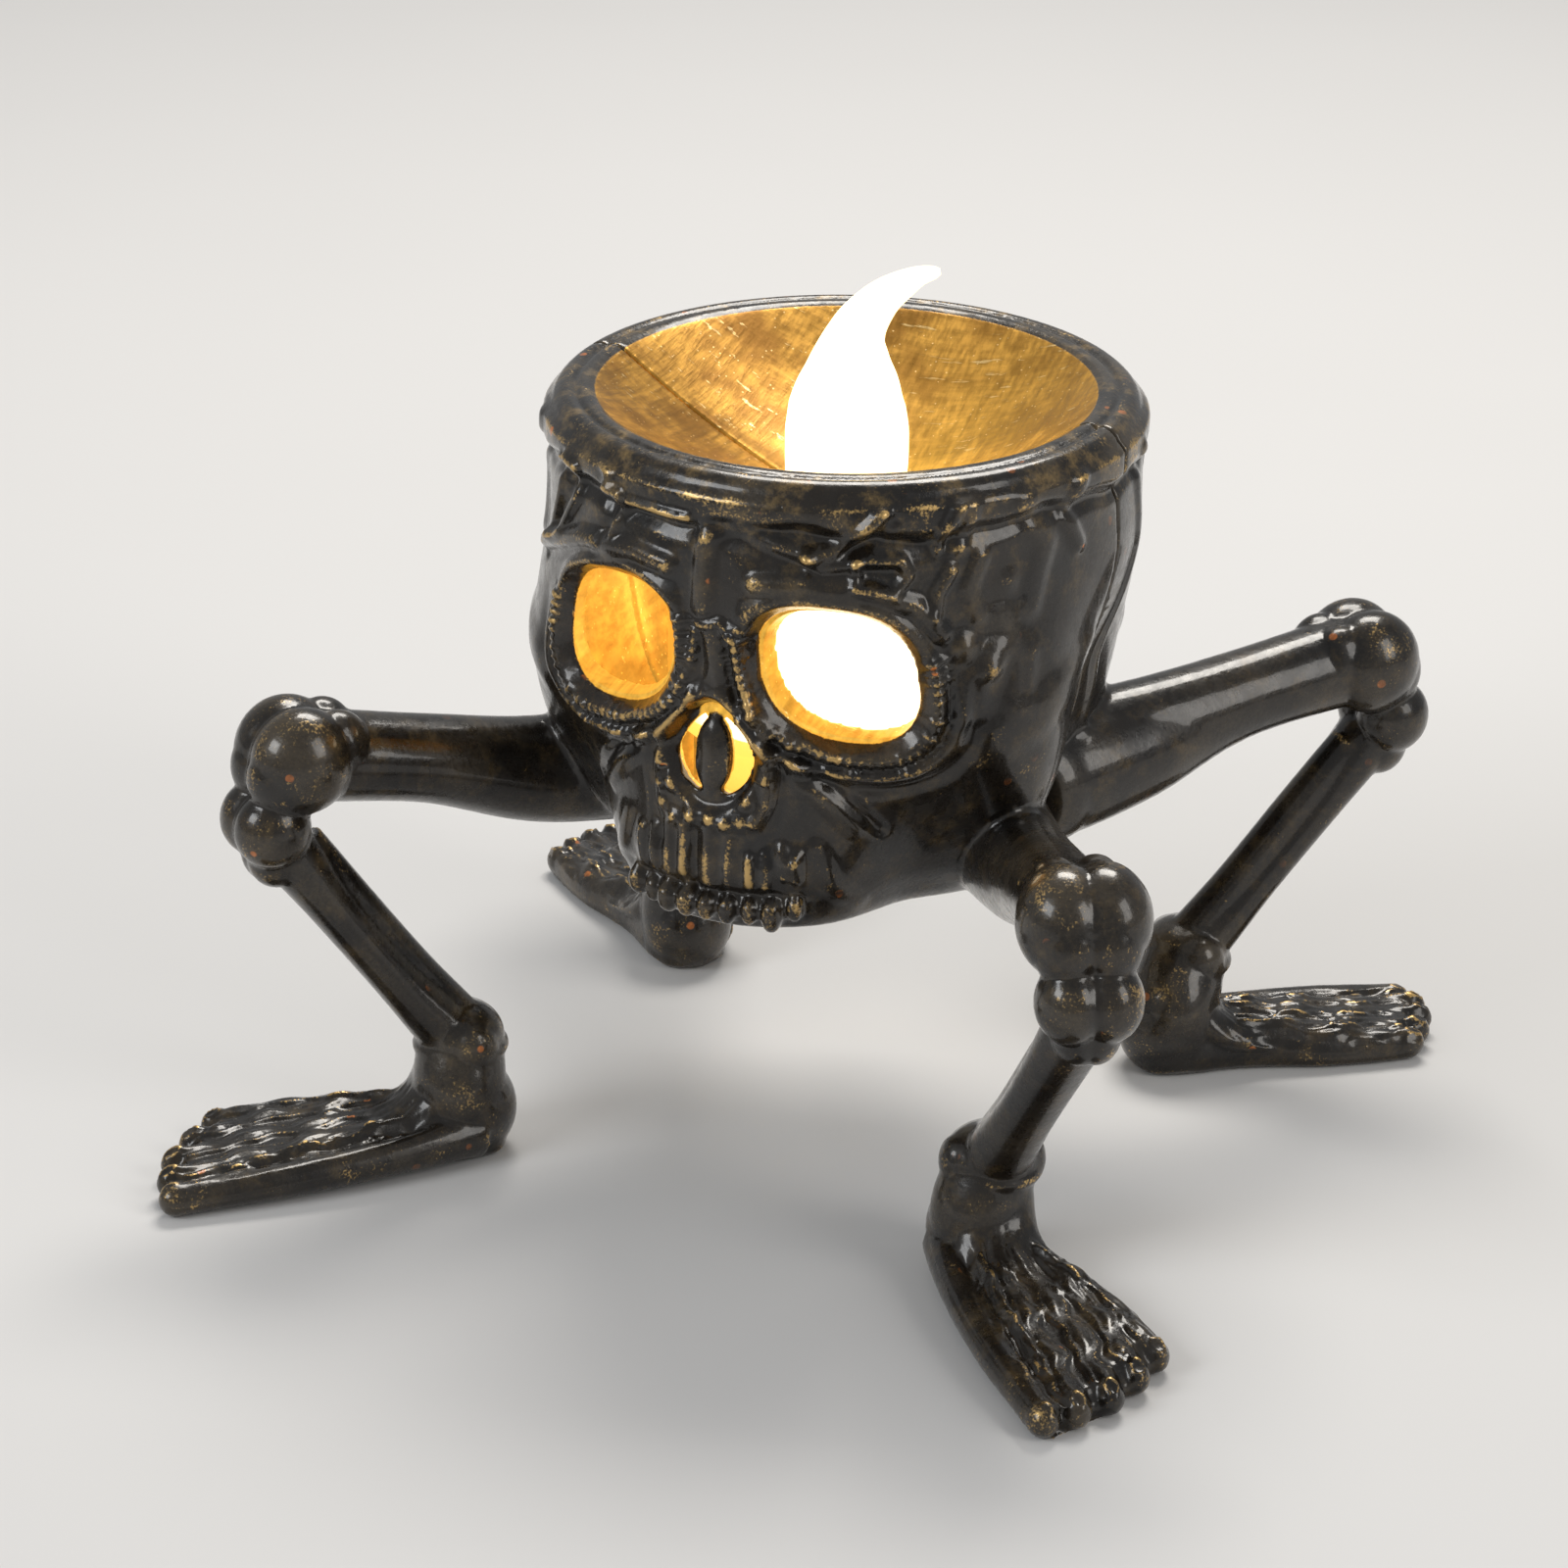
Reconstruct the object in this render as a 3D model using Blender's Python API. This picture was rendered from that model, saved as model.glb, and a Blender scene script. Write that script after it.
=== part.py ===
# Skull flameless candle: a hollow skull on four bent bone legs, with a battery tea light in its crown.
# Metres, +Z up. The face looks along -Y, the soles stand on Z = 0.
# The two half shells are moulded with their legs and bonded on the plane through the skull's axis.

import math

import bmesh
import bpy
import numpy as np
from mathutils import Matrix, Vector

# Skull shell, measured about its own upright axis
axis_back = 0.0062
rim_radius = 0.0305
rim_top = 0.0813
rim_round = 0.0020
skull_bottom = 0.0325
bottom_round = 0.0018
shell_thickness = 0.0022
floor_thickness = 0.0020
touch_gap = 0.0003

# Dish in the crown, and the collar that holds the lamp's cup down
rim_lip = 0.0048
collar_height = 0.0057
flame_clearance = 0.0006
dish_thickness = 0.0020
dish_sag = 0.0006
collar_wall = 0.0018
crown_solid_depth = 0.0050

# Face
eye_angle = math.radians(24.0)
eye_height = 0.0611
eye_half_width = 0.0080
eye_half_height = 0.0073
eye_slope = math.radians(-7.0)
eye_skew = 0.22
eye_flare = 1.23
eye_squareness = 2.5
nose_height = 0.0515
nose_half_width = 0.0040
nose_half_height = 0.0043
septum_half_width = 0.0017
septum_half_height = 0.0038
tooth_count = 9
tooth_rise = 0.0027
tooth_half_width = 0.00098
tooth_half_height = 0.0017
tooth_row_angle = math.radians(33.0)

# Lamp's cup, called a tea light
cup_radius = 0.0184
cup_wall = 0.0014
cup_height = 0.0161
rib_height = 0.0112
rib_thickness = 0.0016
rib_angles = (math.radians(55.0), math.radians(125.0))

# Battery case: a round flange on the ribs, and a long well down to the skull's underside
case_wall = 0.0016
well_end_radius = 0.0135
well_end_offset = 0.0040
well_opening_gap = 0.0005
well_side_wall = 0.0028
case_recess = 0.0003

# Cell, door and door screw
cell_radius = 0.0100
cell_thickness = 0.0032
cell_end_room = 0.0024
strip_thickness = 0.0004
strip_width = 0.0040
door_margin = 0.0004
door_tab_radius = 0.0030
door_tab_reach = 0.0130
door_tab_angle = math.radians(-38.0)
screw_head_radius = 0.0018
screw_head_height = 0.0010
screw_shank_radius = 0.0009
screw_length = 0.0060
screw_boss_radius = 0.0026

# Switch
switch_inset = 0.0052
switch_side = 0.0006
switch_travel = 0.0024
knob_length = 0.0036
knob_width = 0.0022
knob_reach = 0.0008
slide_plate_length = 0.0070
slide_plate_width = 0.0040
slide_plate_thickness = 0.0010

# Lamp
led_radius = 0.0025
led_flange_radius = 0.0029
led_flange_height = 0.0010
led_length = 0.0086
lead_width = 0.0005
lead_pitch = 0.00254
flame_height = 0.0291
flame_radius = 0.0064
flame_foot_radius = 0.0058

# Legs, for the side towards +X. Places are from the skull's axis, on the floor.
femur_radius = 0.0047
tibia_radius = 0.0026
fibula_radius = 0.0020
shin_spacing = 0.0027
sole_thickness = 0.0022
toe_radius = 0.0018
knee_spread = 0.0024
knee_lobe = (0.0055, 0.0044, 0.0057)
knee_under_lobe = (0.0042, 0.0037, 0.0044)
shin_head_reach = 0.0034
shin_head_drop = 0.0078
shin_head_lobe = (0.0040, 0.0034, 0.0036)
ankle_knuckle = (0.0046, 0.0050, 0.0036)
heel_block = (0.0054, 0.0051, 0.0058)
hip_hub = (0.0075, 0.0070, 0.0072)
hip_hub_place = (0.0200, 0.0050, 0.0390)
front_leg = {
    "root": (0.0165, -0.0030, 0.0385),
    "hip": (0.0272, -0.0148, 0.0385),
    "knee": (0.0440, -0.0388, 0.0461),
    "ankle": (0.0308, -0.0287, 0.0107),
    "heel": (0.0284, -0.0284, 0.0),
    "toes": (0.0535, -0.0552, 0.0),
}
rear_leg = {
    "root": (0.0160, 0.0030, 0.0395),
    "hip": (0.0270, 0.0150, 0.0415),
    "knee": (0.0440, 0.0383, 0.0452),
    "ankle": (0.0300, 0.0258, 0.0104),
    "heel": (0.0283, 0.0207, 0.0),
    "toes": (0.0538, 0.0430, 0.0),
}
# Each foot's plan, from the big toe on the inner side to the little toe: how far each toe reaches along
# the foot as a share of its length, and where it ends to the side.
front_toes = ((1.02, -0.0046), (1.00, -0.0010), (0.96, 0.0030), (0.88, 0.0068), (0.79, 0.0102))
rear_toes = ((0.97, -0.0050), (1.00, -0.0024), (0.99, 0.0004), (0.95, 0.0032), (0.90, 0.0058))

# How finely the sculpted skin is made
skin_voxel = 0.0006
skin_smoothing = 3
front_keep = 0.028
rear_keep = 0.0185

# The skull's outline: for each share of its height, how far it stands out from the rim's radius
# at these angles, from the middle of the face round to the middle of the back. Its sides and back are
# drawn in at the bottom to a wall round the case's well.
foot_side = well_end_radius + well_opening_gap + well_side_wall - rim_radius
outline_angles = np.radians((0, 20, 40, 64, 90, 116, 148, 180))
drawn_in = [foot_side + more for more in (0.0, 0.0019, 0.0039, 0.0049)]
above_foot = [foot_side + more for more in (0.0030, 0.0057, 0.0077, 0.0087)]
outline_rows = {
    0.00: (0.0006, -0.0014, -0.0066, -0.0070, *drawn_in),
    0.11: (0.0014, 0.0000, -0.0042, -0.0034, *above_foot),
    0.24: (0.0013, -0.0002, -0.0020, 0.0001, -0.0063, -0.0040, -0.0030, -0.0022),
    0.36: (0.0012, -0.0002, 0.0002, 0.0016, -0.0042, -0.0024, -0.0013, -0.0007),
    0.48: (0.0008, 0.0000, 0.0010, 0.0018, -0.0031, -0.0013, -0.0002, 0.0003),
    0.60: (0.0006, 0.0004, 0.0009, 0.0011, -0.0012, -0.0003, 0.0003, 0.0006),
    0.73: (0.0012, 0.0010, 0.0007, 0.0001, 0.0001, 0.0002, 0.0004, 0.0005),
    0.85: (0.0006, 0.0005, 0.0003, 0.0000, -0.0001, 0.0002, 0.0002, 0.0002),
    1.00: (0.0, 0.0, 0.0, 0.0, 0.0, 0.0, 0.0, 0.0),
}

# Raised and sunk lines on the forehead, temples and cheeks: their points as an angle in degrees and
# a share of the skull's height, then how far they stand out and how wide they are.
skin_lines = (
    (((-50, 0.73), (-42, 0.80), (-36, 0.86), (-35, 0.90)), 0.0011, 0.0010),
    (((-30, 0.92), (-21, 0.91), (-23, 0.82)), 0.0009, 0.0009),
    (((-18, 0.90), (-5, 0.90)), 0.0007, 0.0008),
    (((-1, 0.89), (-1, 0.73)), 0.0009, 0.0011),
    (((1, 0.89), (15, 0.84), (27, 0.86)), 0.0007, 0.0009),
    (((-46, 0.72), (-36, 0.79), (-25, 0.80), (-10, 0.80)), 0.0009, 0.0011),
    (((10, 0.79), (22, 0.80), (34, 0.75), (42, 0.68)), 0.0010, 0.0012),
    (((31, 0.93), (27, 0.89), (24, 0.86)), 0.0011, 0.0009),
    (((46, 0.94), (44, 0.90), (42, 0.86)), 0.0010, 0.0009),
    (((52, 0.95), (50, 0.90), (47, 0.86)), 0.0008, 0.0011),
    (((27, 0.86), (36, 0.84), (37, 0.79), (28, 0.79)), 0.0009, 0.0009),
    (((45, 0.81), (42, 0.77), (42, 0.72)), 0.0010, 0.0009),
    (((54, 0.64), (50, 0.60), (49, 0.55)), 0.0008, 0.0014),
    (((60, 0.90), (66, 0.83), (62, 0.72)), 0.0006, 0.0012),
    (((74, 0.95), (71, 0.88), (75, 0.80)), 0.0007, 0.0010),
    (((-60, 0.90), (-66, 0.80), (-62, 0.70)), 0.0007, 0.0012),
    (((9, 0.45), (20, 0.33), (31, 0.24)), -0.0008, 0.0011),
    (((-9, 0.45), (-20, 0.33), (-31, 0.24)), -0.0008, 0.0011),
    (((11, 0.40), (26, 0.22), (40, 0.18)), 0.0006, 0.0014),
    (((-11, 0.40), (-26, 0.22), (-40, 0.18)), 0.0006, 0.0014),
    (((50, 0.42), (68, 0.50), (84, 0.53)), 0.0007, 0.0022),
    (((-50, 0.42), (-68, 0.50), (-84, 0.53)), 0.0007, 0.0022),
    (((100, 0.92), (104, 0.70), (98, 0.45), (103, 0.25)), 0.0006, 0.0010),
    (((-100, 0.92), (-104, 0.70), (-98, 0.45), (-103, 0.25)), 0.0006, 0.0010),
    (((180, 0.85), (176, 0.62), (182, 0.40)), -0.0005, 0.0009),
    (((130, 0.80), (150, 0.66), (180, 0.62), (210, 0.66), (230, 0.80)), -0.0005, 0.0009),
)

skull_height = rim_top - skull_bottom
floor_top = skull_bottom + floor_thickness
tooth_height = skull_bottom + tooth_rise
rib_top = floor_top + rib_height
case_bottom = skull_bottom + case_recess
case_floor = case_bottom + case_wall
flange_bottom = rib_top + touch_gap
flange_top = flange_bottom + case_wall
cup_bottom = flange_top + touch_gap
cup_top = cup_bottom + cup_height
led_base = cup_top - case_wall + touch_gap
dish_rim_radius = rim_radius - rim_lip
dish_hole_radius = flame_radius + flame_clearance
collar_radius = dish_hole_radius + collar_wall
collar_bottom = cup_top + touch_gap
dish_hole_height = collar_bottom + collar_height
well_inside_radius = well_end_radius - case_wall
cell_offset = well_end_offset + well_inside_radius - cell_end_room - cell_radius
door_radius = cell_radius + door_margin
switch_offset = switch_inset - well_end_offset - well_end_radius

for item in list(bpy.data.objects):
    bpy.data.objects.remove(item)

skull_axis = bpy.data.objects.new("skull_axis", None)
bpy.context.scene.collection.objects.link(skull_axis)
skull_axis.location = (0.0, axis_back, 0.0)


# Cubic through the points (xs, ys), level at both ends. ys may hold a row of values for each x.
def smooth_between(x, xs, ys):
    xs = np.asarray(xs, float)
    ys = np.asarray(ys, float)
    slopes = np.gradient(ys, xs, axis=0)
    slopes[0] = slopes[-1] = 0.0
    i = np.clip(np.searchsorted(xs, x) - 1, 0, len(xs) - 2)
    step = xs[i + 1] - xs[i]
    t = np.clip((x - xs[i]) / step, 0.0, 1.0)
    start = (2 * t**3 - 3 * t**2 + 1) * ys[i] + (t**3 - 2 * t**2 + t) * step * slopes[i]
    end = (3 * t**2 - 2 * t**3) * ys[i + 1] + (t**3 - t**2) * step * slopes[i + 1]
    return start + end


# Distance from the points (u, v) to the line of straight runs through the given points
def distance_to_line(u, v, points):
    nearest = np.full(np.shape(u), np.inf)
    for (u0, v0), (u1, v1) in zip(points, points[1:]):
        du, dv = u1 - u0, v1 - v0
        t = np.clip(((u - u0) * du + (v - v0) * dv) / (du * du + dv * dv), 0.0, 1.0)
        nearest = np.minimum(nearest, np.hypot(u - u0 - t * du, v - v0 - t * dv))
    return nearest


def bump(distance, width):
    return np.exp(-((distance / width) ** 2))


# How far outside the eye's outline a point is: 1 on the outline, less inside it
def eye_share(angle, height, side):
    v = height - eye_height
    u = (angle * side - eye_angle) * rim_radius + eye_skew * v
    across = u * math.cos(eye_slope) + v * math.sin(eye_slope)
    up = v * math.cos(eye_slope) - u * math.sin(eye_slope)
    power = eye_squareness
    total = np.abs(across / eye_half_width) ** power + np.abs(up / eye_half_height) ** power
    return total ** (1.0 / power)


# The carving on the skin, added to the outline
def carving(angle, height):
    share = (height - skull_bottom) / skull_height
    u = angle * rim_radius
    v = np.full(np.shape(u), height)
    depth = np.zeros(np.shape(u))
    for points, rise, width in skin_lines:
        line = [(math.radians(a) * rim_radius, skull_bottom + s * skull_height) for a, s in points]
        depth += rise * bump(distance_to_line(u, v, line), width)
    for side in (-1, 1):
        from_edge = (eye_share(angle, height, side) - 1.0) * eye_half_height
        depth += 0.0009 * bump(from_edge - 0.0021, 0.0013) - 0.0010 * bump(from_edge, 0.0011)
        below = np.clip((eye_height - height) / eye_half_height, 0.0, 1.0)
        spokes = np.cos(28.0 * np.arctan2(height - eye_height, u - side * eye_angle * rim_radius))
        depth += 0.00016 * below * spokes * bump(from_edge - 0.0022, 0.0010)
    nose_u = u / (nose_half_width * 1.25)
    nose_v = (height - nose_height) / (nose_half_height * 1.35)
    from_nose = (np.hypot(nose_u, nose_v) - 1.0) * nose_half_height
    depth += 0.0007 * bump(from_nose - 0.0006, 0.0009) - 0.0009 * (np.hypot(nose_u, nose_v) < 0.9)
    bridge = bump(u, 0.0028) * bump(height - 0.0625, 0.0050)
    depth += 0.0012 * bridge - 0.0008 * bump(np.abs(u) - 0.0046, 0.0014) * bump(height - 0.0600, 0.0045)
    for lump_u, lump_v in ((-0.0036, 0.0478), (-0.0015, 0.0464), (0.0015, 0.0462), (0.0038, 0.0475)):
        depth += 0.0012 * bump(np.hypot(u - lump_u, height - lump_v), 0.0012)
    for index in range(tooth_count):
        root_u = tooth_angle(index) * rim_radius
        depth += 0.0005 * bump(u - root_u, 0.0006) * bump(height - tooth_height - 0.0055, 0.0028)
    depth -= 0.0006 * bump(height - tooth_height - 0.0022, 0.0007) * bump(u, 0.0085)
    band = np.clip((share - 0.955) / 0.03, 0.0, 1.0)
    return depth * (1.0 - band)


def tooth_angle(index):
    return tooth_row_angle * (index / (tooth_count - 1) - 0.5)


# The skull's outer radius without its carving, and with it
def outline_radius(angle, height):
    folded = np.abs((np.asarray(angle) + math.pi) % (2.0 * math.pi) - math.pi)
    rows = np.stack([smooth_between(folded, outline_angles, row) for row in outline_rows.values()])
    share = (height - skull_bottom) / skull_height
    return rim_radius + smooth_between(share, list(outline_rows), rows)


def skin_radius(angle, height):
    return outline_radius(angle, height) + carving(np.asarray(angle), height)


# Height of the dish's upper face, a cone that sags a little between its hole and its rim
def dish_surface(radius):
    share = (radius - dish_hole_radius) / (dish_rim_radius - dish_hole_radius)
    rise = rim_top - 0.0004 - dish_hole_height
    return dish_hole_height + rise * share - dish_sag * math.sin(math.pi * min(max(share, 0.0), 1.0))


# Adds closed sides through rings of points that all have the same count, with a cap at each end
def add_loft(bm, rings):
    loops = [[bm.verts.new(point) for point in ring] for ring in rings]
    count = len(loops[0])
    for below, above in zip(loops, loops[1:]):
        for i in range(count):
            j = (i + 1) % count
            bm.faces.new((below[i], below[j], above[j], above[i]))
    bm.faces.new(list(reversed(loops[0])))
    bm.faces.new(loops[-1])


def add_ball(bm, centre, radii, turn=0.0, subdivisions=3):
    size = Matrix.Diagonal((*radii, 1.0))
    place = Matrix.Translation(centre) @ Matrix.Rotation(turn, 4, "Z") @ size
    bmesh.ops.create_icosphere(bm, subdivisions=subdivisions, radius=1.0, matrix=place)


# A tube along a smooth curve through the points. Each radius may be a pair: along the side direction
# and square to it.
def add_bone(bm, points, radii, side=Vector((0.0, 0.0, 1.0)), steps=24, around=20):
    points = [Vector(point) for point in points]
    pairs = [(r, r) if isinstance(r, float) else r for r in radii]
    along = np.linspace(0.0, 1.0, len(points))
    sizes = np.stack([smooth_between(t, along, np.array(pairs)) for t in np.linspace(0.0, 1.0, steps)])
    places = curve_through(points, steps)
    rings = []
    for index, (place, size) in enumerate(zip(places, sizes)):
        ahead = Vector(places[min(index + 1, steps - 1)]) - Vector(places[max(index - 1, 0)])
        ahead.normalize()
        across = (side - ahead * side.dot(ahead)).normalized()
        over = ahead.cross(across)
        ring = []
        for i in range(around):
            turn = 2.0 * math.pi * i / around
            ring.append(Vector(place) + across * size[0] * math.cos(turn) + over * size[1] * math.sin(turn))
        rings.append(ring)
    add_loft(bm, rings)


# Evenly spaced places on a curve that passes through the points
def curve_through(points, steps):
    points = [Vector(point) for point in points]
    padded = [2 * points[0] - points[1], *points, 2 * points[-1] - points[-2]]
    places = []
    for share in np.linspace(0.0, len(points) - 1.0, steps):
        i = min(int(share), len(points) - 2)
        t = share - i
        a, b, c, d = padded[i : i + 4]
        place = 0.5 * (2 * b + (c - a) * t + (2 * a - 5 * b + 4 * c - d) * t**2)
        places.append(place + 0.5 * (3 * b - a - 3 * c + d) * t**3)
    return np.array(places)


# One half of the skull as a solid block, reaching a little past the plane between the halves
def add_half_skull(bm, facing):
    past = math.radians(96.0)
    angles = np.linspace(-past, past, 240)
    if facing == "rear":
        angles = angles + math.pi
    heights = list(np.linspace(skull_bottom + bottom_round, rim_top - rim_round, 90))
    rings = [skin_ring(angles, skull_bottom, skull_bottom, bottom_round)]
    rings.append(skin_ring(angles, skull_bottom + 0.3 * bottom_round, skull_bottom, 0.3 * bottom_round))
    rings += [skin_ring(angles, height, height, 0.0) for height in heights]
    for turn in (0.35, 0.75, 1.15, math.pi / 2):
        height = rim_top - rim_round * (1.0 - math.sin(turn))
        rings.append(skin_ring(angles, height, rim_top - rim_round, rim_round * (1.0 - math.cos(turn))))
    add_loft(bm, rings)


def skin_ring(angles, height, read_at, inward):
    radius = skin_radius(angles, read_at) - inward
    return [Vector((r * math.sin(a), -r * math.cos(a), height)) for a, r in zip(angles, radius)]


def add_teeth(bm):
    for index in range(tooth_count):
        angle = tooth_angle(index)
        radius = float(outline_radius(np.array([angle]), tooth_height)[0]) + 0.0002
        centre = (radius * math.sin(angle), -radius * math.cos(angle), tooth_height)
        add_ball(bm, centre, (tooth_half_width, 0.0011, tooth_half_height), angle)


# One leg: thigh bone, knee, the two shin bones, ankle block and foot. Side is -1 or +1 along X.
def add_leg(bm, leg, toes, side):
    root, hip, knee, ankle, heel, tip = (Vector((x * side, y, z)) for x, y, z in leg.values())
    up = Vector((0.0, 0.0, 1.0))
    outward = knee - hip
    outward.z = 0.0
    outward.normalize()
    across = up.cross(outward)
    turn = math.atan2(outward.y, outward.x)
    r = femur_radius
    middle = hip.lerp(knee, 0.5) + up * 0.0004
    flared = [(1.4 * r, 1.4 * r), (1.12 * r, 1.25 * r), (r, r), (1.04 * r, 1.05 * r)]
    add_bone(bm, (root, hip, middle, knee), flared, across)
    for lobe in (-1, 1):
        centre = knee + across * lobe * knee_spread
        add_ball(bm, centre, knee_lobe, turn)
        add_ball(bm, centre + outward * 0.0018 - up * 0.0014, knee_under_lobe, turn)
    head = knee + outward * shin_head_reach - up * shin_head_drop
    for lobe in (-1, 1):
        add_ball(bm, head + across * lobe * knee_spread, shin_head_lobe, turn)
    shin_top = head - outward * 0.0014 - up * 0.0012
    shin_foot = ankle + up * 0.0016 + outward * 0.0006
    t = tibia_radius
    wide = [(1.35 * t, 1.25 * t), (1.25 * t, t), (1.2 * t, t), (1.4 * t, 1.25 * t)]
    bow = outward * 0.0006
    thirds = [shin_top, shin_top.lerp(shin_foot, 0.33), shin_top.lerp(shin_foot, 0.67), shin_foot]
    thirds = [thirds[0], thirds[1] + bow, thirds[2] + bow, thirds[3]]
    add_bone(bm, thirds, wide, across)
    f = fibula_radius
    inner = [point - outward * shin_spacing for point in thirds]
    inner[0] = inner[0] - up * 0.0010
    inner[-1] = inner[-1] + outward * 0.3 * shin_spacing
    add_bone(bm, inner, [1.1 * f, (1.1 * f, f), (1.1 * f, f), 1.3 * f], across)
    add_ball(bm, ankle + up * 0.0020, ankle_knuckle, turn)
    add_foot(bm, ankle, heel, tip, toes)


# A foot: heel block, instep and sole, and a ray of bones for each toe
def add_foot(bm, ankle, heel, tip, toes):
    up = Vector((0.0, 0.0, 1.0))
    length = (tip - heel).length
    ahead = (tip - heel).normalized()
    turn = math.atan2(ahead.y, ahead.x)
    # The little toe is on the side that faces away from the plane between left and right
    beside = up.cross(ahead)
    if beside.y * heel.y > 0.0:
        beside = -beside

    def spot(along, sideways, height):
        return heel + ahead * length * along + beside * sideways + up * height

    add_ball(bm, spot(0.05, 0.0, 0.8 * heel_block[2]), heel_block, turn)
    block = (ankle + up * 0.0010, spot(0.07, 0.0, 0.0070), spot(0.07, 0.0, 0.0010))
    add_bone(bm, block, [0.0047, 0.0050, 0.0046], ahead)
    middle = 0.5 * (toes[0][1] + toes[-1][1])
    half = 0.5 * (toes[-1][1] - toes[0][1])
    instep = (ankle - up * 0.0005, spot(0.22, 0.25 * middle, 0.0056), spot(0.50, 0.8 * middle, 0.0032))
    add_bone(bm, instep, [(0.0042, 0.0040), (0.0052, 0.0030), (0.80 * half, 0.0018)], beside)
    outline = (
        (-0.03, 0.0, 0.0034),
        (0.08, 0.0, 0.0048),
        (0.24, 0.35 * middle, 0.0050),
        (0.46, middle, 0.86 * half),
        (0.66, middle, 0.98 * half),
        (0.82, 0.7 * middle, 0.80 * half),
        (0.90, 0.4 * middle, 0.55 * half),
    )
    sole = [spot(along, sideways, 0.5 * sole_thickness) for along, sideways, _ in outline]
    add_bone(bm, sole, [(wide, 0.5 * sole_thickness + 0.0004) for _, _, wide in outline], beside, 30, 28)
    for index, (reach, end) in enumerate(toes):
        thick = toe_radius * (1.0 - 0.05 * index)
        ray = []
        sizes = []
        for along in np.linspace(0.16, reach - 0.04, 15):
            spread = float(np.interp(along, (0.16, 0.62, 1.0), (0.55, 0.96, 1.0)))
            height = float(np.interp(along, (0.16, 0.45, 0.75, 1.0), (0.0066, 0.0050, 0.0032, 0.0022)))
            sway = 0.00030 * math.sin(34.0 * along + 1.7 * index)
            knuckle = bump(along - 0.60 * reach, 0.035) + bump(along - 0.78 * reach, 0.030)
            knuckle += bump(along - 0.94 * reach, 0.045)
            ray.append(spot(along, end * spread + sway, height + 0.0002 * float(knuckle)))
            sizes.append(thick * (0.80 + 0.26 * float(knuckle)))
        add_bone(bm, ray, sizes, beside, 46, 12)


def material(name, colour, roughness, metallic, glow=0.0):
    made = bpy.data.materials.new(name)
    made.use_nodes = True
    shader = made.node_tree.nodes["Principled BSDF"]
    shader.inputs["Base Color"].default_value = (*colour, 1.0)
    shader.inputs["Roughness"].default_value = roughness
    shader.inputs["Metallic"].default_value = metallic
    shader.inputs["Emission Color"].default_value = (*colour, 1.0)
    shader.inputs["Emission Strength"].default_value = glow
    return made


# Links a mesh to the skull's axis, as a piece of the object or as a hidden cutter
def place(name, bm, look=None, at=(0.0, 0.0, 0.0)):
    bmesh.ops.recalc_face_normals(bm, faces=bm.faces)
    mesh = bpy.data.meshes.new(name)
    bm.to_mesh(mesh)
    bm.free()
    made = bpy.data.objects.new(name, mesh)
    bpy.context.scene.collection.objects.link(made)
    made.parent = skull_axis
    made.location = at
    if look:
        mesh.materials.append(look)
        mesh.shade_smooth()
        mesh.set_sharp_from_angle(angle=math.radians(35.0))
    else:
        made.hide_render = True
        made.display_type = "WIRE"
    return made


def boolean(target, tool, operation="DIFFERENCE"):
    step = target.modifiers.new(tool.name, "BOOLEAN")
    step.operation = operation
    step.object = tool
    step.solver = "EXACT"


def circle(radius, centre=(0.0, 0.0), count=32):
    turns = [2.0 * math.pi * i / count for i in range(count)]
    return [(centre[0] + radius * math.cos(t), centre[1] + radius * math.sin(t)) for t in turns]


def rectangle(x0, x1, y0, y1):
    return [(x0, y0), (x1, y0), (x1, y1), (x0, y1)]


# A slot-shaped outline, long in Y, with round ends of the given radius
def stadium(radius, offset, count=13):
    ends = []
    for sign in (1.0, -1.0):
        turns = [math.pi * i / count for i in range(count + 1)]
        ends += [(sign * radius * math.cos(t), sign * (offset + radius * math.sin(t))) for t in turns]
    return ends


def add_plate(bm, outline, low, high):
    add_loft(bm, [[(x, y, low) for x, y in outline], [(x, y, high) for x, y in outline]])


def plate(name, outline, low, high, look=None):
    bm = bmesh.new()
    add_plate(bm, outline, low, high)
    return place(name, bm, look)


# A turned solid. The profile runs from the axis out and back to the axis, or round a closed ring.
def turned(name, profile, look=None, closed_ring=False, count=36):
    bm = bmesh.new()
    loops = []
    for radius, height in profile:
        if radius < 1e-7:
            loops.append([bm.verts.new((0.0, 0.0, height))] * count)
        else:
            loops.append([bm.verts.new((x, y, height)) for x, y in circle(radius, count=count)])
    pairs = list(zip(loops, loops[1:])) + ([(loops[-1], loops[0])] if closed_ring else [])
    for below, above in pairs:
        for i in range(count):
            j = (i + 1) % count
            corners = list(dict.fromkeys((below[i], below[j], above[j], above[i])))
            if len(corners) > 2:
                bm.faces.new(corners)
    return place(name, bm, look)


def chamber_cutter():
    angles = np.linspace(-math.pi, math.pi, 44, endpoint=False)
    crown = rim_top - crown_solid_depth
    levels = np.linspace(floor_top, crown - 0.0015, 7)
    rings = []
    for height in levels:
        radius = outline_radius(angles, height) - shell_thickness
        rings.append([(r * math.sin(a), -r * math.cos(a), height) for a, r in zip(angles, radius)])
    for radius in (dish_rim_radius, 0.5 * (dish_rim_radius + collar_radius), collar_radius):
        height = min(crown, dish_surface(radius) - dish_thickness)
        rings.append([(radius * math.sin(a), -radius * math.cos(a), height) for a in angles])
    r = collar_radius
    rings.append([(r * math.sin(a), -r * math.cos(a), collar_bottom) for a in angles])
    bm = bmesh.new()
    add_loft(bm, rings)
    return place("chamber_cutter", bm)


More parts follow.
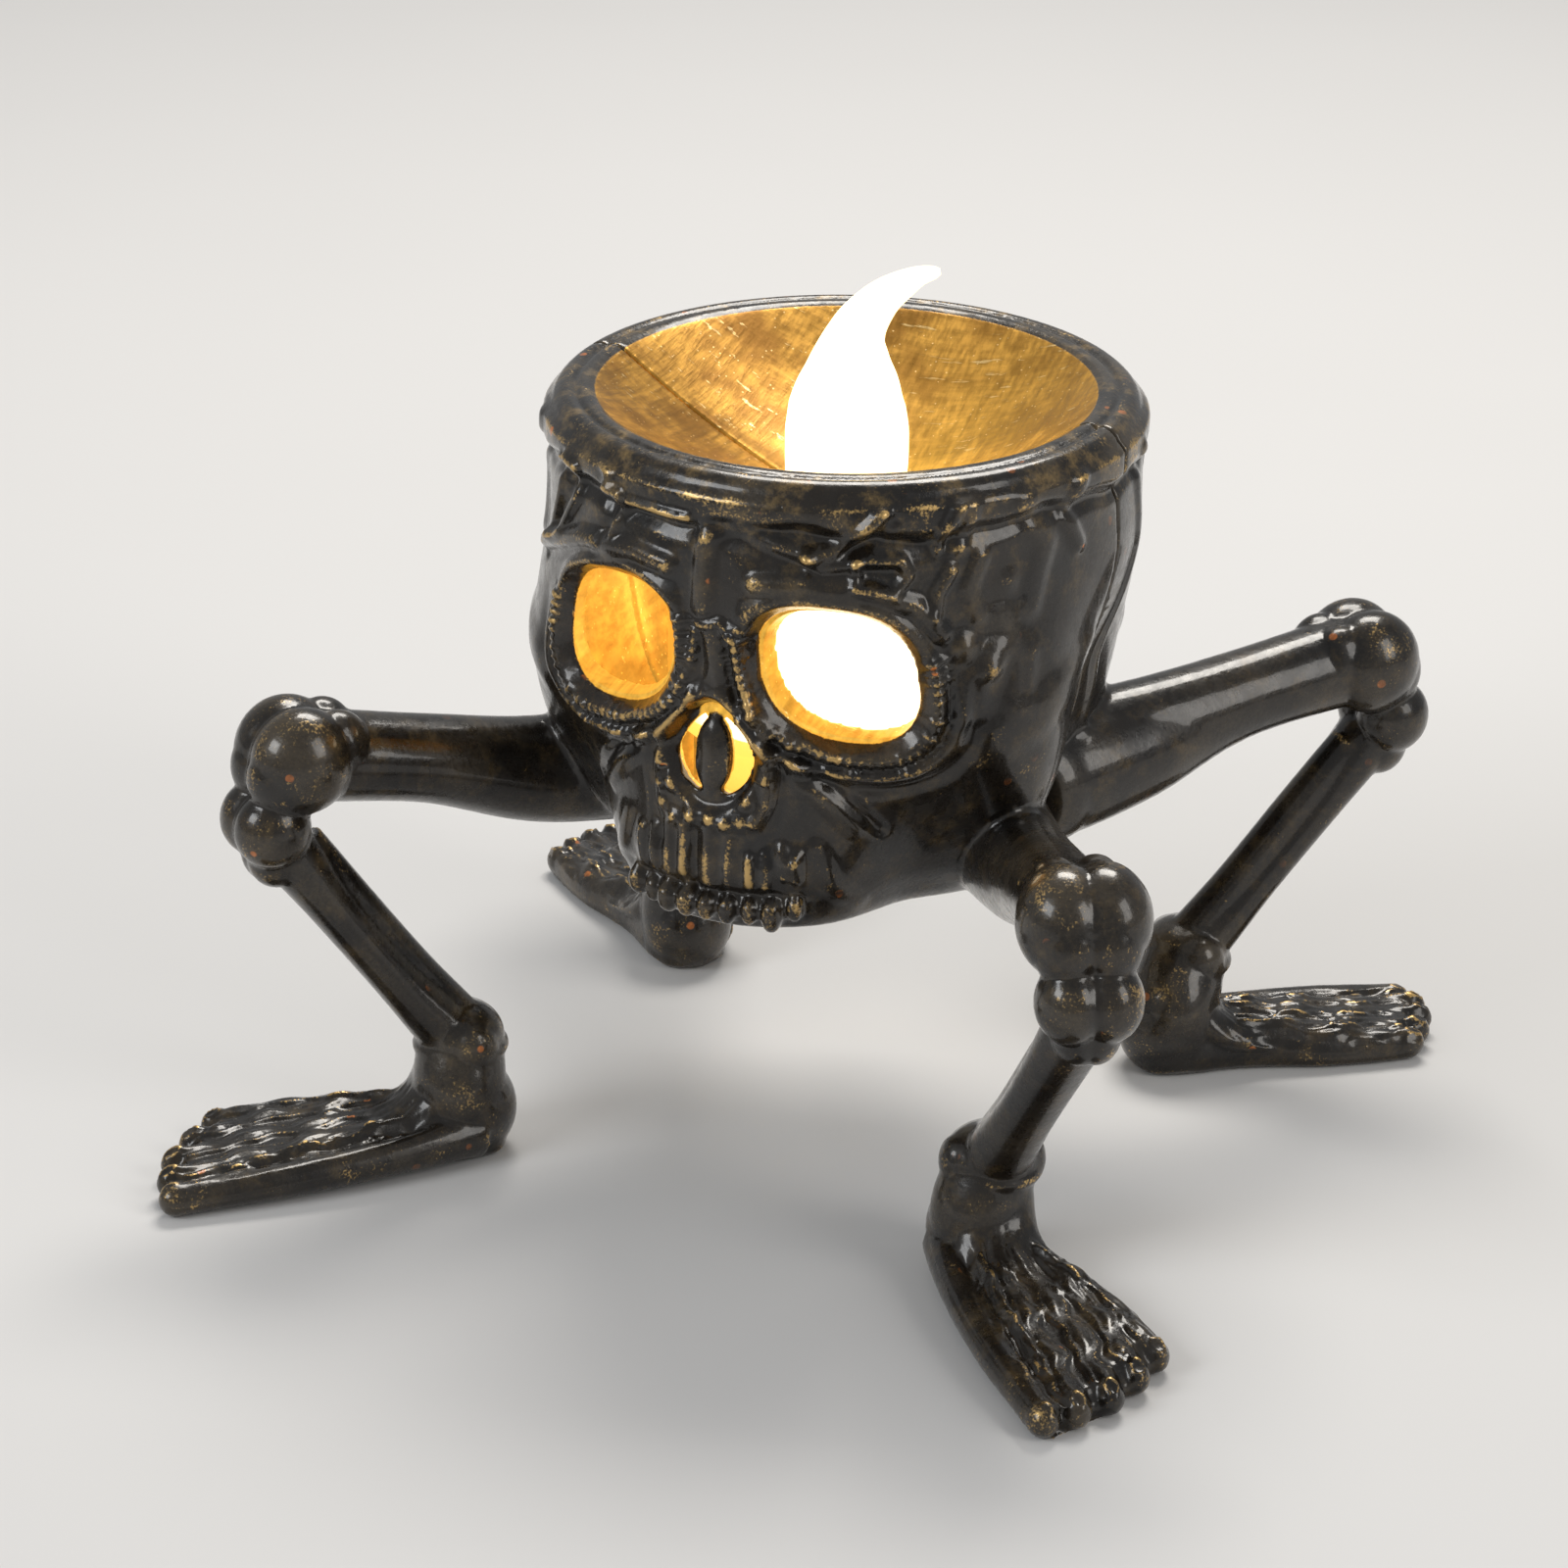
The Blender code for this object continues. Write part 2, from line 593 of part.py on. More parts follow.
def dish_cutter():
    above = rim_top + 0.004
    profile = [(0.0, collar_bottom - 0.001), (dish_hole_radius, collar_bottom - 0.001)]
    for share in np.linspace(0.0, 1.0, 4):
        radius = dish_hole_radius + (dish_rim_radius - dish_hole_radius) * float(share)
        profile.append((radius, dish_surface(radius)))
    lip = dish_rim_radius + 0.0012
    profile += [(lip, rim_top + 0.0002), (lip + 0.0001, above), (0.0, above)]
    return turned("dish_cutter", profile, count=44)


# Both eye sockets, each a flared opening along its own direction from the axis
def eye_cutter():
    bm = bmesh.new()
    for side in (-1, 1):
        angle = side * eye_angle
        out = Vector((math.sin(angle), -math.cos(angle), 0.0))
        across = Vector((math.cos(angle), math.sin(angle), 0.0)) * side
        rings = []
        for beyond_rim, size in ((-0.0105, 0.90), (-0.0030, 0.98), (0.0010, 1.06), (0.0060, eye_flare)):
            distance = rim_radius + beyond_rim
            ring = []
            for i in range(28):
                turn = 2.0 * math.pi * i / 28
                c, s = math.cos(turn), math.sin(turn)
                power = 2.0 / eye_squareness
                u = size * eye_half_width * math.copysign(abs(c) ** power, c)
                v = size * eye_half_height * math.copysign(abs(s) ** power, s)
                rise = v * math.cos(eye_slope) + u * math.sin(eye_slope)
                right = u * math.cos(eye_slope) - v * math.sin(eye_slope) - eye_skew * rise
                ring.append(out * distance + across * right + Vector((0.0, 0.0, eye_height + rise)))
            rings.append(ring)
        add_loft(bm, rings)
    return place("eye_cutter", bm)


# The two nose slits: crescents on either side of the septum, cut straight through along Y
def nose_cutter():
    bm = bmesh.new()
    turns = np.linspace(math.radians(80.0), math.radians(-72.0), 12)
    for side in (-1, 1):
        outer = [(nose_half_width * math.cos(t), nose_half_height * math.sin(t)) for t in turns]
        outer = [(x * (1.0 - 0.35 * max(z, 0.0) / nose_half_height), z) for x, z in outer]
        inner = [(septum_half_width * math.cos(t), septum_half_height * math.sin(t)) for t in turns[::-1]]
        outline = [(side * (x + 0.0003), nose_height + z) for x, z in outer + inner]
        rings = [[(x, -rim_radius - y, z) for x, z in outline] for y in (-0.0085, 0.0095)]
        add_loft(bm, rings)
    return place("nose_cutter", bm)


def well_cutter():
    outline = stadium(well_end_radius + well_opening_gap, well_end_offset)
    return plate("well_cutter", outline, skull_bottom - 0.003, floor_top + 0.001)


def floor_cutter():
    return plate("floor_cutter", rectangle(-0.1, 0.1, -0.1, 0.1), -0.02, 0.0)


def rear_side_cutter():
    return plate("rear_side_cutter", rectangle(-0.1, 0.1, -0.5 * touch_gap, 0.1), -0.01, 0.12)


def front_side_cutter():
    return plate("front_side_cutter", rectangle(-0.1, 0.1, -0.1, 0.5 * touch_gap), -0.01, 0.12)


# How far the well's opening reaches from the skull's axis, at an angle from the face
def well_reach(angle):
    radius = well_end_radius + well_opening_gap
    ahead = well_end_offset * abs(math.cos(angle))
    return ahead + math.sqrt(radius**2 - (well_end_offset * math.sin(angle)) ** 2)


# Upright webs inside one half, which carry the battery case's flange
def rib_tool(name, angle):
    bm = bmesh.new()
    for side in (-1, 1):
        out = Vector((side * math.sin(angle), -math.cos(angle), 0.0))
        across = Vector((-out.y, out.x, 0.0)) * (0.5 * rib_thickness)
        heights = np.linspace(floor_top - 0.5 * floor_thickness, rib_top, 5)
        inner = well_reach(angle)
        outline = [(inner, heights[0])]
        for height in heights:
            skin = float(outline_radius(np.array([angle]), height)[0])
            outline.append((skin - 0.5 * shell_thickness, height))
        outline.append((inner, rib_top))
        up = Vector((0.0, 0.0, 1.0))
        add_loft(bm, [[out * r + up * z + across * s for r, z in outline] for s in (-1, 1)])
    return place(name, bm)


def sculpt(name, bm, keep, look):
    made = place(name, bm, look)
    skin = made.modifiers.new("skin", "REMESH")
    skin.mode = "VOXEL"
    skin.voxel_size = skin_voxel
    soften = made.modifiers.new("soften", "SMOOTH")
    soften.factor = 0.5
    soften.iterations = skin_smoothing
    thin = made.modifiers.new("thin", "DECIMATE")
    thin.ratio = keep
    return made


def skull_halves():
    bronze = material("bronze_plastic", (0.035, 0.026, 0.018), 0.28, 0.55)
    bronze_rear = material("bronze_plastic_rear", (0.035, 0.026, 0.018), 0.28, 0.55)
    front = bmesh.new()
    add_half_skull(front, "front")
    add_teeth(front)
    rear = bmesh.new()
    add_half_skull(rear, "rear")
    for side in (-1, 1):
        add_leg(front, front_leg, front_toes, side)
        add_leg(rear, rear_leg, rear_toes, side)
        hub = Vector(hip_hub_place)
        hub.x *= side
        add_ball(rear, hub, hip_hub)
    front = sculpt("skull_front_half", front, front_keep, bronze)
    rear = sculpt("skull_rear_half", rear, rear_keep, bronze_rear)
    chamber, dish, well, floor = chamber_cutter(), dish_cutter(), well_cutter(), floor_cutter()
    for half, angle in ((front, rib_angles[0]), (rear, rib_angles[1])):
        boolean(half, chamber)
        boolean(half, rib_tool(half.name + "_ribs", angle), "UNION")
        boolean(half, dish)
        boolean(half, well)
        boolean(half, floor)
    boolean(front, eye_cutter())
    boolean(front, nose_cutter())
    boolean(front, rear_side_cutter())
    boolean(rear, front_side_cutter())


# The flame-shaped cap stands on the cup, through the dish's hole, and its tip curls to one side
def flame_cap():
    look = material("flame_plastic", (1.0, 0.62, 0.22), 0.35, 0.0, 3.0)
    curl = Vector((math.cos(math.radians(25.8)), math.sin(math.radians(25.8)), 0.0))
    foot = cup_top + touch_gap
    # How far to the side and how high each section lies, as shares of the flame's height, and its radius
    sections = (
        (0.0, 0.0, 0.90 * flame_foot_radius),
        (0.0, 0.021, flame_foot_radius),
        (0.0, 0.172, 0.97 * flame_radius),
        (0.003, 0.309, flame_radius),
        (0.003, 0.416, flame_radius),
        (0.003, 0.509, 0.94 * flame_radius),
        (0.010, 0.598, 0.81 * flame_radius),
        (0.017, 0.687, 0.63 * flame_radius),
        (0.034, 0.770, 0.47 * flame_radius),
        (0.069, 0.835, 0.39 * flame_radius),
        (0.124, 0.900, 0.31 * flame_radius),
        (0.189, 0.948, 0.24 * flame_radius),
        (0.251, 0.983, 0.16 * flame_radius),
        (0.306, 0.997, 0.11 * flame_radius),
        (0.326, 1.0, 0.05 * flame_radius),
    )
    up = Vector((0.0, 0.0, 1.0))
    side = up.cross(curl)
    centres = [curl * s * flame_height + up * (foot + share * flame_height) for s, share, _ in sections]
    rings = []
    for index, (_, _, radius) in enumerate(sections):
        ahead = centres[min(index + 1, len(centres) - 1)] - centres[max(index - 1, 0)]
        over = side.cross(ahead.normalized())
        turns = [2.0 * math.pi * i / 18 for i in range(18)]
        rings.append([centres[index] + (over * math.cos(t) + side * math.sin(t)) * radius for t in turns])
    bm = bmesh.new()
    add_loft(bm, rings)
    cap = place("flame", bm, look)
    pocket_radius = led_flange_radius + touch_gap
    pocket_top = led_base + led_length + touch_gap
    profile = [(0.0, foot - 0.002), (pocket_radius, foot - 0.002), (pocket_radius, pocket_top - 0.0020)]
    profile += [(0.6 * pocket_radius, pocket_top - 0.0004), (0.0, pocket_top)]
    boolean(cap, turned("flame_pocket_cutter", profile, count=16))


def lamp_cup():
    look = material("cup_plastic", (0.90, 0.86, 0.78), 0.45, 0.0, 1.0)
    inside = cup_radius - cup_wall
    ceiling = cup_top - case_wall
    hole = led_flange_radius + touch_gap
    profile = [(hole, cup_top), (hole, ceiling), (inside - 0.001, ceiling), (inside, ceiling - 0.001)]
    profile += [(inside, cup_bottom), (cup_radius, cup_bottom), (cup_radius, cup_top - 0.0012)]
    profile += [(cup_radius - 0.0012, cup_top)]
    turned("candle_body", profile, look, closed_ring=True)


def lamp():
    clear = material("led_resin", (0.98, 0.80, 0.45), 0.12, 0.0, 2.0)
    dome = led_base + led_length - led_radius
    flange = led_base + led_flange_height
    profile = [(0.0, led_base), (led_flange_radius, led_base), (led_flange_radius, flange)]
    profile += [(led_radius, flange)]
    for turn in np.linspace(0.0, math.pi / 2.0, 5):
        profile.append((led_radius * math.cos(turn), dome + led_radius * math.sin(turn)))
    profile[-1] = (0.0, dome + led_radius)
    turned("led", profile, clear, count=20)
    tinned = material("lead_tin", (0.72, 0.72, 0.70), 0.25, 1.0)
    top = led_base - touch_gap
    half = 0.5 * lead_width
    y = 0.5 * lead_pitch
    bottom = positive_level() + touch_gap
    plate("led_lead_long", rectangle(-half, half, y - half, y + half), bottom, top, tinned)
    bm = bmesh.new()
    bend = negative_top() + touch_gap
    front = negative_front()
    outline = [(-y + half, top), (-y + half, bend), (front, bend), (front, bend + lead_width)]
    outline += [(-y - half, bend + lead_width), (-y - half, top)]
    add_loft(bm, [[(x, y0, z) for y0, z in outline] for x in (-half, half)])
    place("led_lead_short", bm, material("lead_tin_short", (0.72, 0.72, 0.70), 0.25, 1.0))


# Levels and places that the cell, its strips and the lamp's leads share
def cell_bottom():
    return case_floor + 2.0 * touch_gap + strip_thickness


def positive_level():
    return cell_bottom() + cell_thickness + touch_gap + strip_thickness


def negative_top():
    return positive_level() + 0.0030


def negative_front():
    return cell_offset - cell_radius - 2.0 * touch_gap - strip_thickness - 0.0010


def cell_and_strips():
    steel = material("cell_steel", (0.62, 0.62, 0.62), 0.3, 1.0)
    low = cell_bottom()
    high = low + cell_thickness
    edge = 0.0004
    sections = (
        (cell_radius - 0.0009, low),
        (cell_radius - edge, low + 0.0006),
        (cell_radius, low + 0.0010),
        (cell_radius, high - edge),
        (cell_radius - edge, high),
    )
    bm = bmesh.new()
    add_loft(bm, [[(x, y, z) for x, y in circle(radius, (0.0, cell_offset))] for radius, z in sections])
    place("coin_cell", bm, steel)
    half = 0.5 * strip_width
    level = positive_level()
    wall = well_end_offset + well_inside_radius - 0.0006
    inside, top = wall - strip_thickness, rib_top - 0.001
    outline = [(-0.0030, level), (-0.0030, level - strip_thickness), (wall, level - strip_thickness)]
    outline += [(wall, top), (inside, top), (inside, level)]
    bm = bmesh.new()
    add_loft(bm, [[(x, y, z) for y, z in outline] for x in (-half, half)])
    place("contact_positive", bm, material("nickel_strip", (0.66, 0.62, 0.52), 0.3, 1.0))
    level = case_floor + touch_gap
    front, end = negative_front(), cell_offset + 0.004
    inside, bend = front + strip_thickness, level + strip_thickness
    outline = [(end, level), (end, bend), (inside, bend), (inside, negative_top())]
    outline += [(front, negative_top()), (front, level)]
    bm = bmesh.new()
    add_loft(bm, [[(x, y, z) for y, z in outline] for x in (-half, half)])
    place("contact_negative", bm, material("nickel_strip_low", (0.66, 0.62, 0.52), 0.3, 1.0))


# Outline of the door: a disc under the cell with a round tab for the screw
def door_centre():
    x = door_tab_reach * math.sin(door_tab_angle)
    return x, cell_offset - door_tab_reach * math.cos(door_tab_angle)


def door_outline(name, grow, low, high, look=None):
    disc = plate(name, circle(door_radius + grow, (0.0, cell_offset)), low, high, look)
    tab = plate(name + "_tab", circle(door_tab_radius + grow, door_centre(), 18), low, high)
    boolean(disc, tab, "UNION")
    return disc


def battery_case():
    look = material("case_plastic", (0.80, 0.74, 0.62), 0.5, 0.0, 0.2)
    outline = stadium(well_end_radius, well_end_offset)
    well = plate("battery_case", outline, case_bottom, flange_bottom + 0.0004, look)
    flange = plate("case_flange", circle(cup_radius, count=36), flange_bottom, flange_top)
    boolean(well, flange, "UNION")
    outline = stadium(well_inside_radius, well_end_offset)
    boolean(well, plate("case_well_cutter", outline, case_floor, flange_top + 0.001))
    x, y = door_centre()
    boss_top = case_bottom + screw_length + touch_gap
    boss_outline = circle(screw_boss_radius, (x, y), 20)
    boss = plate("case_screw_boss", boss_outline, case_floor - 0.0004, boss_top)
    web = rectangle(-well_inside_radius - 0.0006, x, y - 0.0008, y + 0.0008)
    boolean(boss, plate("case_boss_web", web, case_floor - 0.0003, boss_top - 0.0005), "UNION")
    boolean(well, boss, "UNION")
    pilot = circle(screw_shank_radius + touch_gap, (x, y), 16)
    boolean(well, plate("case_pilot_cutter", pilot, case_bottom - 0.001, boss_top + 0.001))
    boolean(well, door_outline("case_door_cutter", touch_gap, case_bottom - 0.001, case_floor + touch_gap))
    half_length = 0.5 * (knob_length + switch_travel) + touch_gap
    half_width = 0.5 * knob_width + touch_gap
    low, high = switch_side - half_length, switch_side + half_length
    slot = rectangle(low, high, switch_offset - half_width, switch_offset + half_width)
    boolean(well, plate("case_slot_cutter", slot, case_bottom - 0.001, case_floor + 0.001))


def battery_door():
    look = material("door_plastic", (0.80, 0.75, 0.65), 0.45, 0.0)
    door = door_outline("battery_door", 0.0, case_bottom, case_floor, look)
    x, y = door_centre()
    head = circle(screw_head_radius + touch_gap, (x, y), 24)
    boolean(door, plate("door_head_cutter", head, case_bottom - 0.001, case_bottom + screw_head_height))
    shank = circle(screw_shank_radius + touch_gap, (x, y), 16)
    boolean(door, plate("door_shank_cutter", shank, case_bottom - 0.001, case_floor + 0.001))


def door_screw():
    look = material("screw_steel", (0.55, 0.55, 0.56), 0.35, 1.0)
    x, y = door_centre()
    head_top = case_bottom + screw_head_height - touch_gap
    screw = plate("door_screw", circle(screw_head_radius, (x, y), 24), case_bottom, head_top, look)
    shank = circle(screw_shank_radius, (x, y), 16)
    boolean(screw, plate("screw_shank", shank, head_top - 0.0003, case_bottom + screw_length), "UNION")
    for index, (half_x, half_y) in enumerate(((0.0011, 0.00022), (0.00022, 0.0011))):
        arm = rectangle(x - half_x, x + half_x, y - half_y, y + half_y)
        boolean(screw, plate(f"screw_cross_cutter_{index}", arm, case_bottom - 0.001, case_bottom + 0.0004))


# The slider stands at the off end of its slot. Its origin is on the slot's middle line.
def switch_slider():
    look = material("switch_plastic", (0.03, 0.03, 0.03), 0.4, 0.0)
    start = switch_side - 0.5 * switch_travel
    plate_low = case_floor + touch_gap
    half_length, half_width = 0.5 * slide_plate_length, 0.5 * slide_plate_width
    bm = bmesh.new()
    add_plate(bm, rectangle(-half_length, half_length, -half_width, half_width), 0.0, slide_plate_thickness)
    slider = place("switch_slider", bm, look, (start, switch_offset, plate_low))
    half_length, half_width = 0.5 * knob_length, 0.5 * knob_width
    bm = bmesh.new()
    low = case_bottom - knob_reach - plate_low
    add_plate(bm, rectangle(-half_length, half_length, -half_width, half_width), low, 0.0004)
    knob = place("switch_knob", bm, None, (start, switch_offset, plate_low))
    boolean(slider, knob, "UNION")


skull_halves()
flame_cap()
lamp_cup()
lamp()
cell_and_strips()
battery_case()
battery_door()
door_screw()
switch_slider()
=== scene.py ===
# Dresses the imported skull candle: two sculpted bronze half shells on bone legs, and a lit lamp inside.
import math

import bmesh
import bpy
import numpy as np
from mathutils import Matrix, Vector


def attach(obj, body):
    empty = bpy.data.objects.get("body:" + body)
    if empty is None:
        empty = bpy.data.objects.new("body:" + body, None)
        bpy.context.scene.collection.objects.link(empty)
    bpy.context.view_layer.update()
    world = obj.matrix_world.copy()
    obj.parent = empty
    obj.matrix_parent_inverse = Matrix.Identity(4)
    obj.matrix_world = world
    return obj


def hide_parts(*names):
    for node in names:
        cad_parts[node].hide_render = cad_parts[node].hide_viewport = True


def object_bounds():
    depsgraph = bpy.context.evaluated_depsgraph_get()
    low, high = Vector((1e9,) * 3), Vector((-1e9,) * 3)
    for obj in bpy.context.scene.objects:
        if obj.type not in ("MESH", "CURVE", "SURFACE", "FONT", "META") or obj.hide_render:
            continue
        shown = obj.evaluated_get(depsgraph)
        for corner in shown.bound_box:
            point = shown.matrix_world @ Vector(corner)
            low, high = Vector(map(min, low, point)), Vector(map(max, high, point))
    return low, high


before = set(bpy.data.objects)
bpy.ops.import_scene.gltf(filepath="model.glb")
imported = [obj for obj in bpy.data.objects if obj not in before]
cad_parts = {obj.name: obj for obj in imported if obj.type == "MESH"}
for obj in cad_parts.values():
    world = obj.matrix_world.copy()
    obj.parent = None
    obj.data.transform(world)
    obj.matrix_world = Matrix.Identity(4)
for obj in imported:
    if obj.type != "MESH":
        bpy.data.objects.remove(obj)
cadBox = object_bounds()
scene = bpy.context.scene
print("frame loaded,", len(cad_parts), "nodes")

# Lengths are metres here. The skull's own axis stands behind the frame's origin by this much.
axisBack = 0.0062

# Camera, light and floor
view = {
    "azimuth": 25.78,
    "elevation": 23.9,
    "roll": 0.45,
    "place": (0.20864, -0.43982, 0.25437),
    "lens": 116.23,
}
studio = {
    "floorColour": (0.66, 0.655, 0.65),
    "worldColour": (0.95, 0.96, 0.97),
    "worldStrength": 0.36,
    "lamps": (  # name, place, width, height, watts, colour
        ("keyLamp", (-0.10, 0.36, 0.60), 0.36, 0.22, 3.3, (1.0, 0.96, 0.90)),
        ("frontLamp", (-0.42, -0.62, 0.50), 0.40, 0.30, 2.6, (0.96, 0.98, 1.0)),
        ("sideLamp", (0.70, -0.10, 0.40), 0.30, 0.50, 1.8, (1.0, 0.97, 0.93)),
    ),
}


def addCamera():
    turn, rise, roll = (math.radians(view[key]) for key in ("azimuth", "elevation", "roll"))
    ahead = Vector((-math.sin(turn) * math.cos(rise), math.cos(turn) * math.cos(rise), -math.sin(rise)))
    right = Vector((math.cos(turn), math.sin(turn), 0.0))
    up = right.cross(ahead)
    right, up = right * math.cos(roll) + up * math.sin(roll), up * math.cos(roll) - right * math.sin(roll)
    data = bpy.data.cameras.new("photoCamera")
    data.sensor_width = 36.0
    data.lens = view["lens"]
    data.clip_start = 0.01
    made = bpy.data.objects.new("photoCamera", data)
    scene.collection.objects.link(made)
    axes = Matrix((right, up, -ahead)).transposed().to_4x4()
    made.matrix_world = Matrix.Translation(view["place"]) @ axes
    scene.camera = made


def addStudio():
    scene.view_settings.view_transform = "Standard"
    world = bpy.data.worlds.new("softRoom")
    world.use_nodes = True
    sky = world.node_tree.nodes["Background"]
    sky.inputs["Color"].default_value = (*studio["worldColour"], 1.0)
    sky.inputs["Strength"].default_value = studio["worldStrength"]
    scene.world = world
    aim = Vector((0.0, 0.0, 0.04))
    for name, place, width, height, watts, colour in studio["lamps"]:
        data = bpy.data.lights.new(name, "AREA")
        data.shape = "RECTANGLE"
        data.size, data.size_y = width, height
        data.energy = watts
        data.color = colour
        made = bpy.data.objects.new(name, data)
        scene.collection.objects.link(made)
        made.location = place
        made.rotation_euler = (aim - Vector(place)).to_track_quat("-Z", "Y").to_euler()
    bm = bmesh.new()
    bmesh.ops.create_grid(bm, x_segments=2, y_segments=2, size=3.0)
    floor = linkMesh("studioFloor", bm)
    floor.data.materials.append(floorPaper())


# Small helpers for meshes
def linkMesh(name, bm):
    mesh = bpy.data.meshes.new(name)
    bm.to_mesh(mesh)
    bm.free()
    made = bpy.data.objects.new(name, mesh)
    scene.collection.objects.link(made)
    return made


# The same, with its faces turned outwards
def linkClosed(name, bm):
    bmesh.ops.recalc_face_normals(bm, faces=bm.faces)
    return linkMesh(name, bm)


def remesh(made, voxel):
    skin = made.modifiers.new("skin", "REMESH")
    skin.mode = "VOXEL"
    skin.voxel_size = voxel
    settle(made)


def coverWith(made, look):
    made.data.materials.clear()
    made.data.materials.append(look)


# Turns what an object's modifiers make into its plain mesh
def settle(made):
    bpy.context.view_layer.update()
    shaped = made.evaluated_get(bpy.context.evaluated_depsgraph_get())
    mesh = bpy.data.meshes.new_from_object(shaped)
    made.modifiers.clear()
    old = made.data
    made.data = mesh
    if isinstance(old, bpy.types.Mesh):
        bpy.data.meshes.remove(old)
    return made


def dropObject(made):
    bpy.data.objects.remove(made)


def readPoints(mesh, what="co"):
    values = np.empty(len(mesh.vertices) * 3, np.float32)
    mesh.vertices.foreach_get(what, values)
    return values.reshape(-1, 3).astype(float)


def writePoints(mesh, points):
    mesh.vertices.foreach_set("co", points.astype(np.float32).ravel())
    mesh.update()


def writeMark(mesh, name, values):
    mark = mesh.attributes.new(name, "FLOAT", "POINT")
    mark.data.foreach_set("value", np.asarray(values, np.float32))


# Closed sides through rings of points with the same count, and a cap at each end
def addLoft(bm, rings):
    loops = [[bm.verts.new(point) for point in ring] for ring in rings]
    count = len(loops[0])
    for below, above in zip(loops, loops[1:]):
        for i in range(count):
            j = (i + 1) % count
            bm.faces.new((below[i], below[j], above[j], above[i]))
    bm.faces.new(loops[0][::-1])
    bm.faces.new(loops[-1])


def addBall(bm, centre, radii, turn=0.0):
    shape = Matrix.Diagonal((*radii, 1.0))
    place = Matrix.Translation(centre) @ Matrix.Rotation(turn, 4, "Z") @ shape
    bmesh.ops.create_icosphere(bm, subdivisions=4, radius=1.0, matrix=place)


# Cubic through (xs, ys), level at both ends. ys may hold a row of values for each x.
def smoothBetween(x, xs, ys):
    xs, ys = np.asarray(xs, float), np.asarray(ys, float)
    slopes = np.gradient(ys, xs, axis=0)
    slopes[0] = slopes[-1] = 0.0
    i = np.clip(np.searchsorted(xs, x) - 1, 0, len(xs) - 2)
    step = xs[i + 1] - xs[i]
    t = np.clip((x - xs[i]) / step, 0.0, 1.0)
    start = (2 * t**3 - 3 * t**2 + 1) * ys[i] + (t**3 - 2 * t**2 + t) * step * slopes[i]
    return start + (3 * t**2 - 2 * t**3) * ys[i + 1] + (t**3 - t**2) * step * slopes[i + 1]


# Evenly spaced places on a curve that passes through the points
def curveThrough(points, steps):
    points = [Vector(point) for point in points]
    padded = [2 * points[0] - points[1], *points, 2 * points[-1] - points[-2]]
    places = []
    for share in np.linspace(0.0, len(points) - 1.0, steps):
        i = min(int(share), len(points) - 2)
        t = share - i
        a, b, c, d = padded[i : i + 4]
        place = 0.5 * (2 * b + (c - a) * t + (2 * a - 5 * b + 4 * c - d) * t**2)
        places.append(place + 0.5 * (3 * b - a - 3 * c + d) * t**3)
    return places


# A tube along a smooth curve. A radius may be a pair: along the side direction, and square to it.
def addBone(bm, points, radii, side, steps=40, around=32):
    points = [Vector(point) for point in points]
    pairs = np.array([(r, r) if isinstance(r, float) else r for r in radii])
    along = np.linspace(0.0, 1.0, len(points))
    places = curveThrough(points, steps)
    rings = []
    for index, place in enumerate(places):
        size = smoothBetween(index / (steps - 1), along, pairs)
        ahead = (places[min(index + 1, steps - 1)] - places[max(index - 1, 0)]).normalized()
        across = (side - ahead * side.dot(ahead)).normalized()
        over = ahead.cross(across)
        turns = [2.0 * math.pi * i / around for i in range(around)]
        rings.append([place + across * size[0] * math.cos(t) + over * size[1] * math.sin(t) for t in turns])
    addLoft(bm, rings)


def bump(distance, width):
    return np.exp(-((distance / width) ** 2))


def easeIn(value, low, high):
    t = np.clip((value - low) / (high - low), 0.0, 1.0)
    return t * t * (3.0 - 2.0 * t)


# Helpers for shader and geometry nodes
def addNode(tree, kind, values=None, **settings):
    made = tree.nodes.new(kind)
    for name, value in settings.items():
        setattr(made, name, value)
    for key, value in (values or {}).items():
        if isinstance(value, bpy.types.NodeSocket):
            tree.links.new(value, made.inputs[key])
        else:
            made.inputs[key].default_value = value
    return made


def resultOf(tree, kind, values=None, **settings):
    return addNode(tree, kind, values, **settings).outputs[0]


def calc(tree, operation, *values):
    return resultOf(tree, "ShaderNodeMath", dict(enumerate(values)), operation=operation)


def ramp(tree, value, low, high, start=0.0, end=1.0):
    sockets = {0: value, 1: low, 2: high, 3: start, 4: end}
    return resultOf(tree, "ShaderNodeMapRange", sockets, interpolation_type="SMOOTHSTEP")


def mixColour(tree, factor, first, second):
    sockets = {0: factor, 6: colour4(first), 7: colour4(second)}
    return addNode(tree, "ShaderNodeMix", sockets, data_type="RGBA").outputs[2]


def colour4(colour):
    return colour if isinstance(colour, bpy.types.NodeSocket) else (*colour, 1.0)


def mixValue(tree, factor, first, second):
    return resultOf(tree, "ShaderNodeMix", {0: factor, 2: first, 3: second}, data_type="FLOAT")


def grainOf(tree, place, scale, detail=3.0, roughness=0.55):
    sockets = {"Vector": place, "Scale": scale, "Detail": detail, "Roughness": roughness}
    return resultOf(tree, "ShaderNodeTexNoise", sockets)


def stretched(tree, place, scale, turn=(0.0, 0.0, 0.0)):
    sockets = {"Vector": place, "Scale": scale, "Rotation": turn}
    return resultOf(tree, "ShaderNodeMapping", sockets)


def markOf(tree, name):
    return addNode(tree, "ShaderNodeAttribute", attribute_name=name).outputs["Fac"]


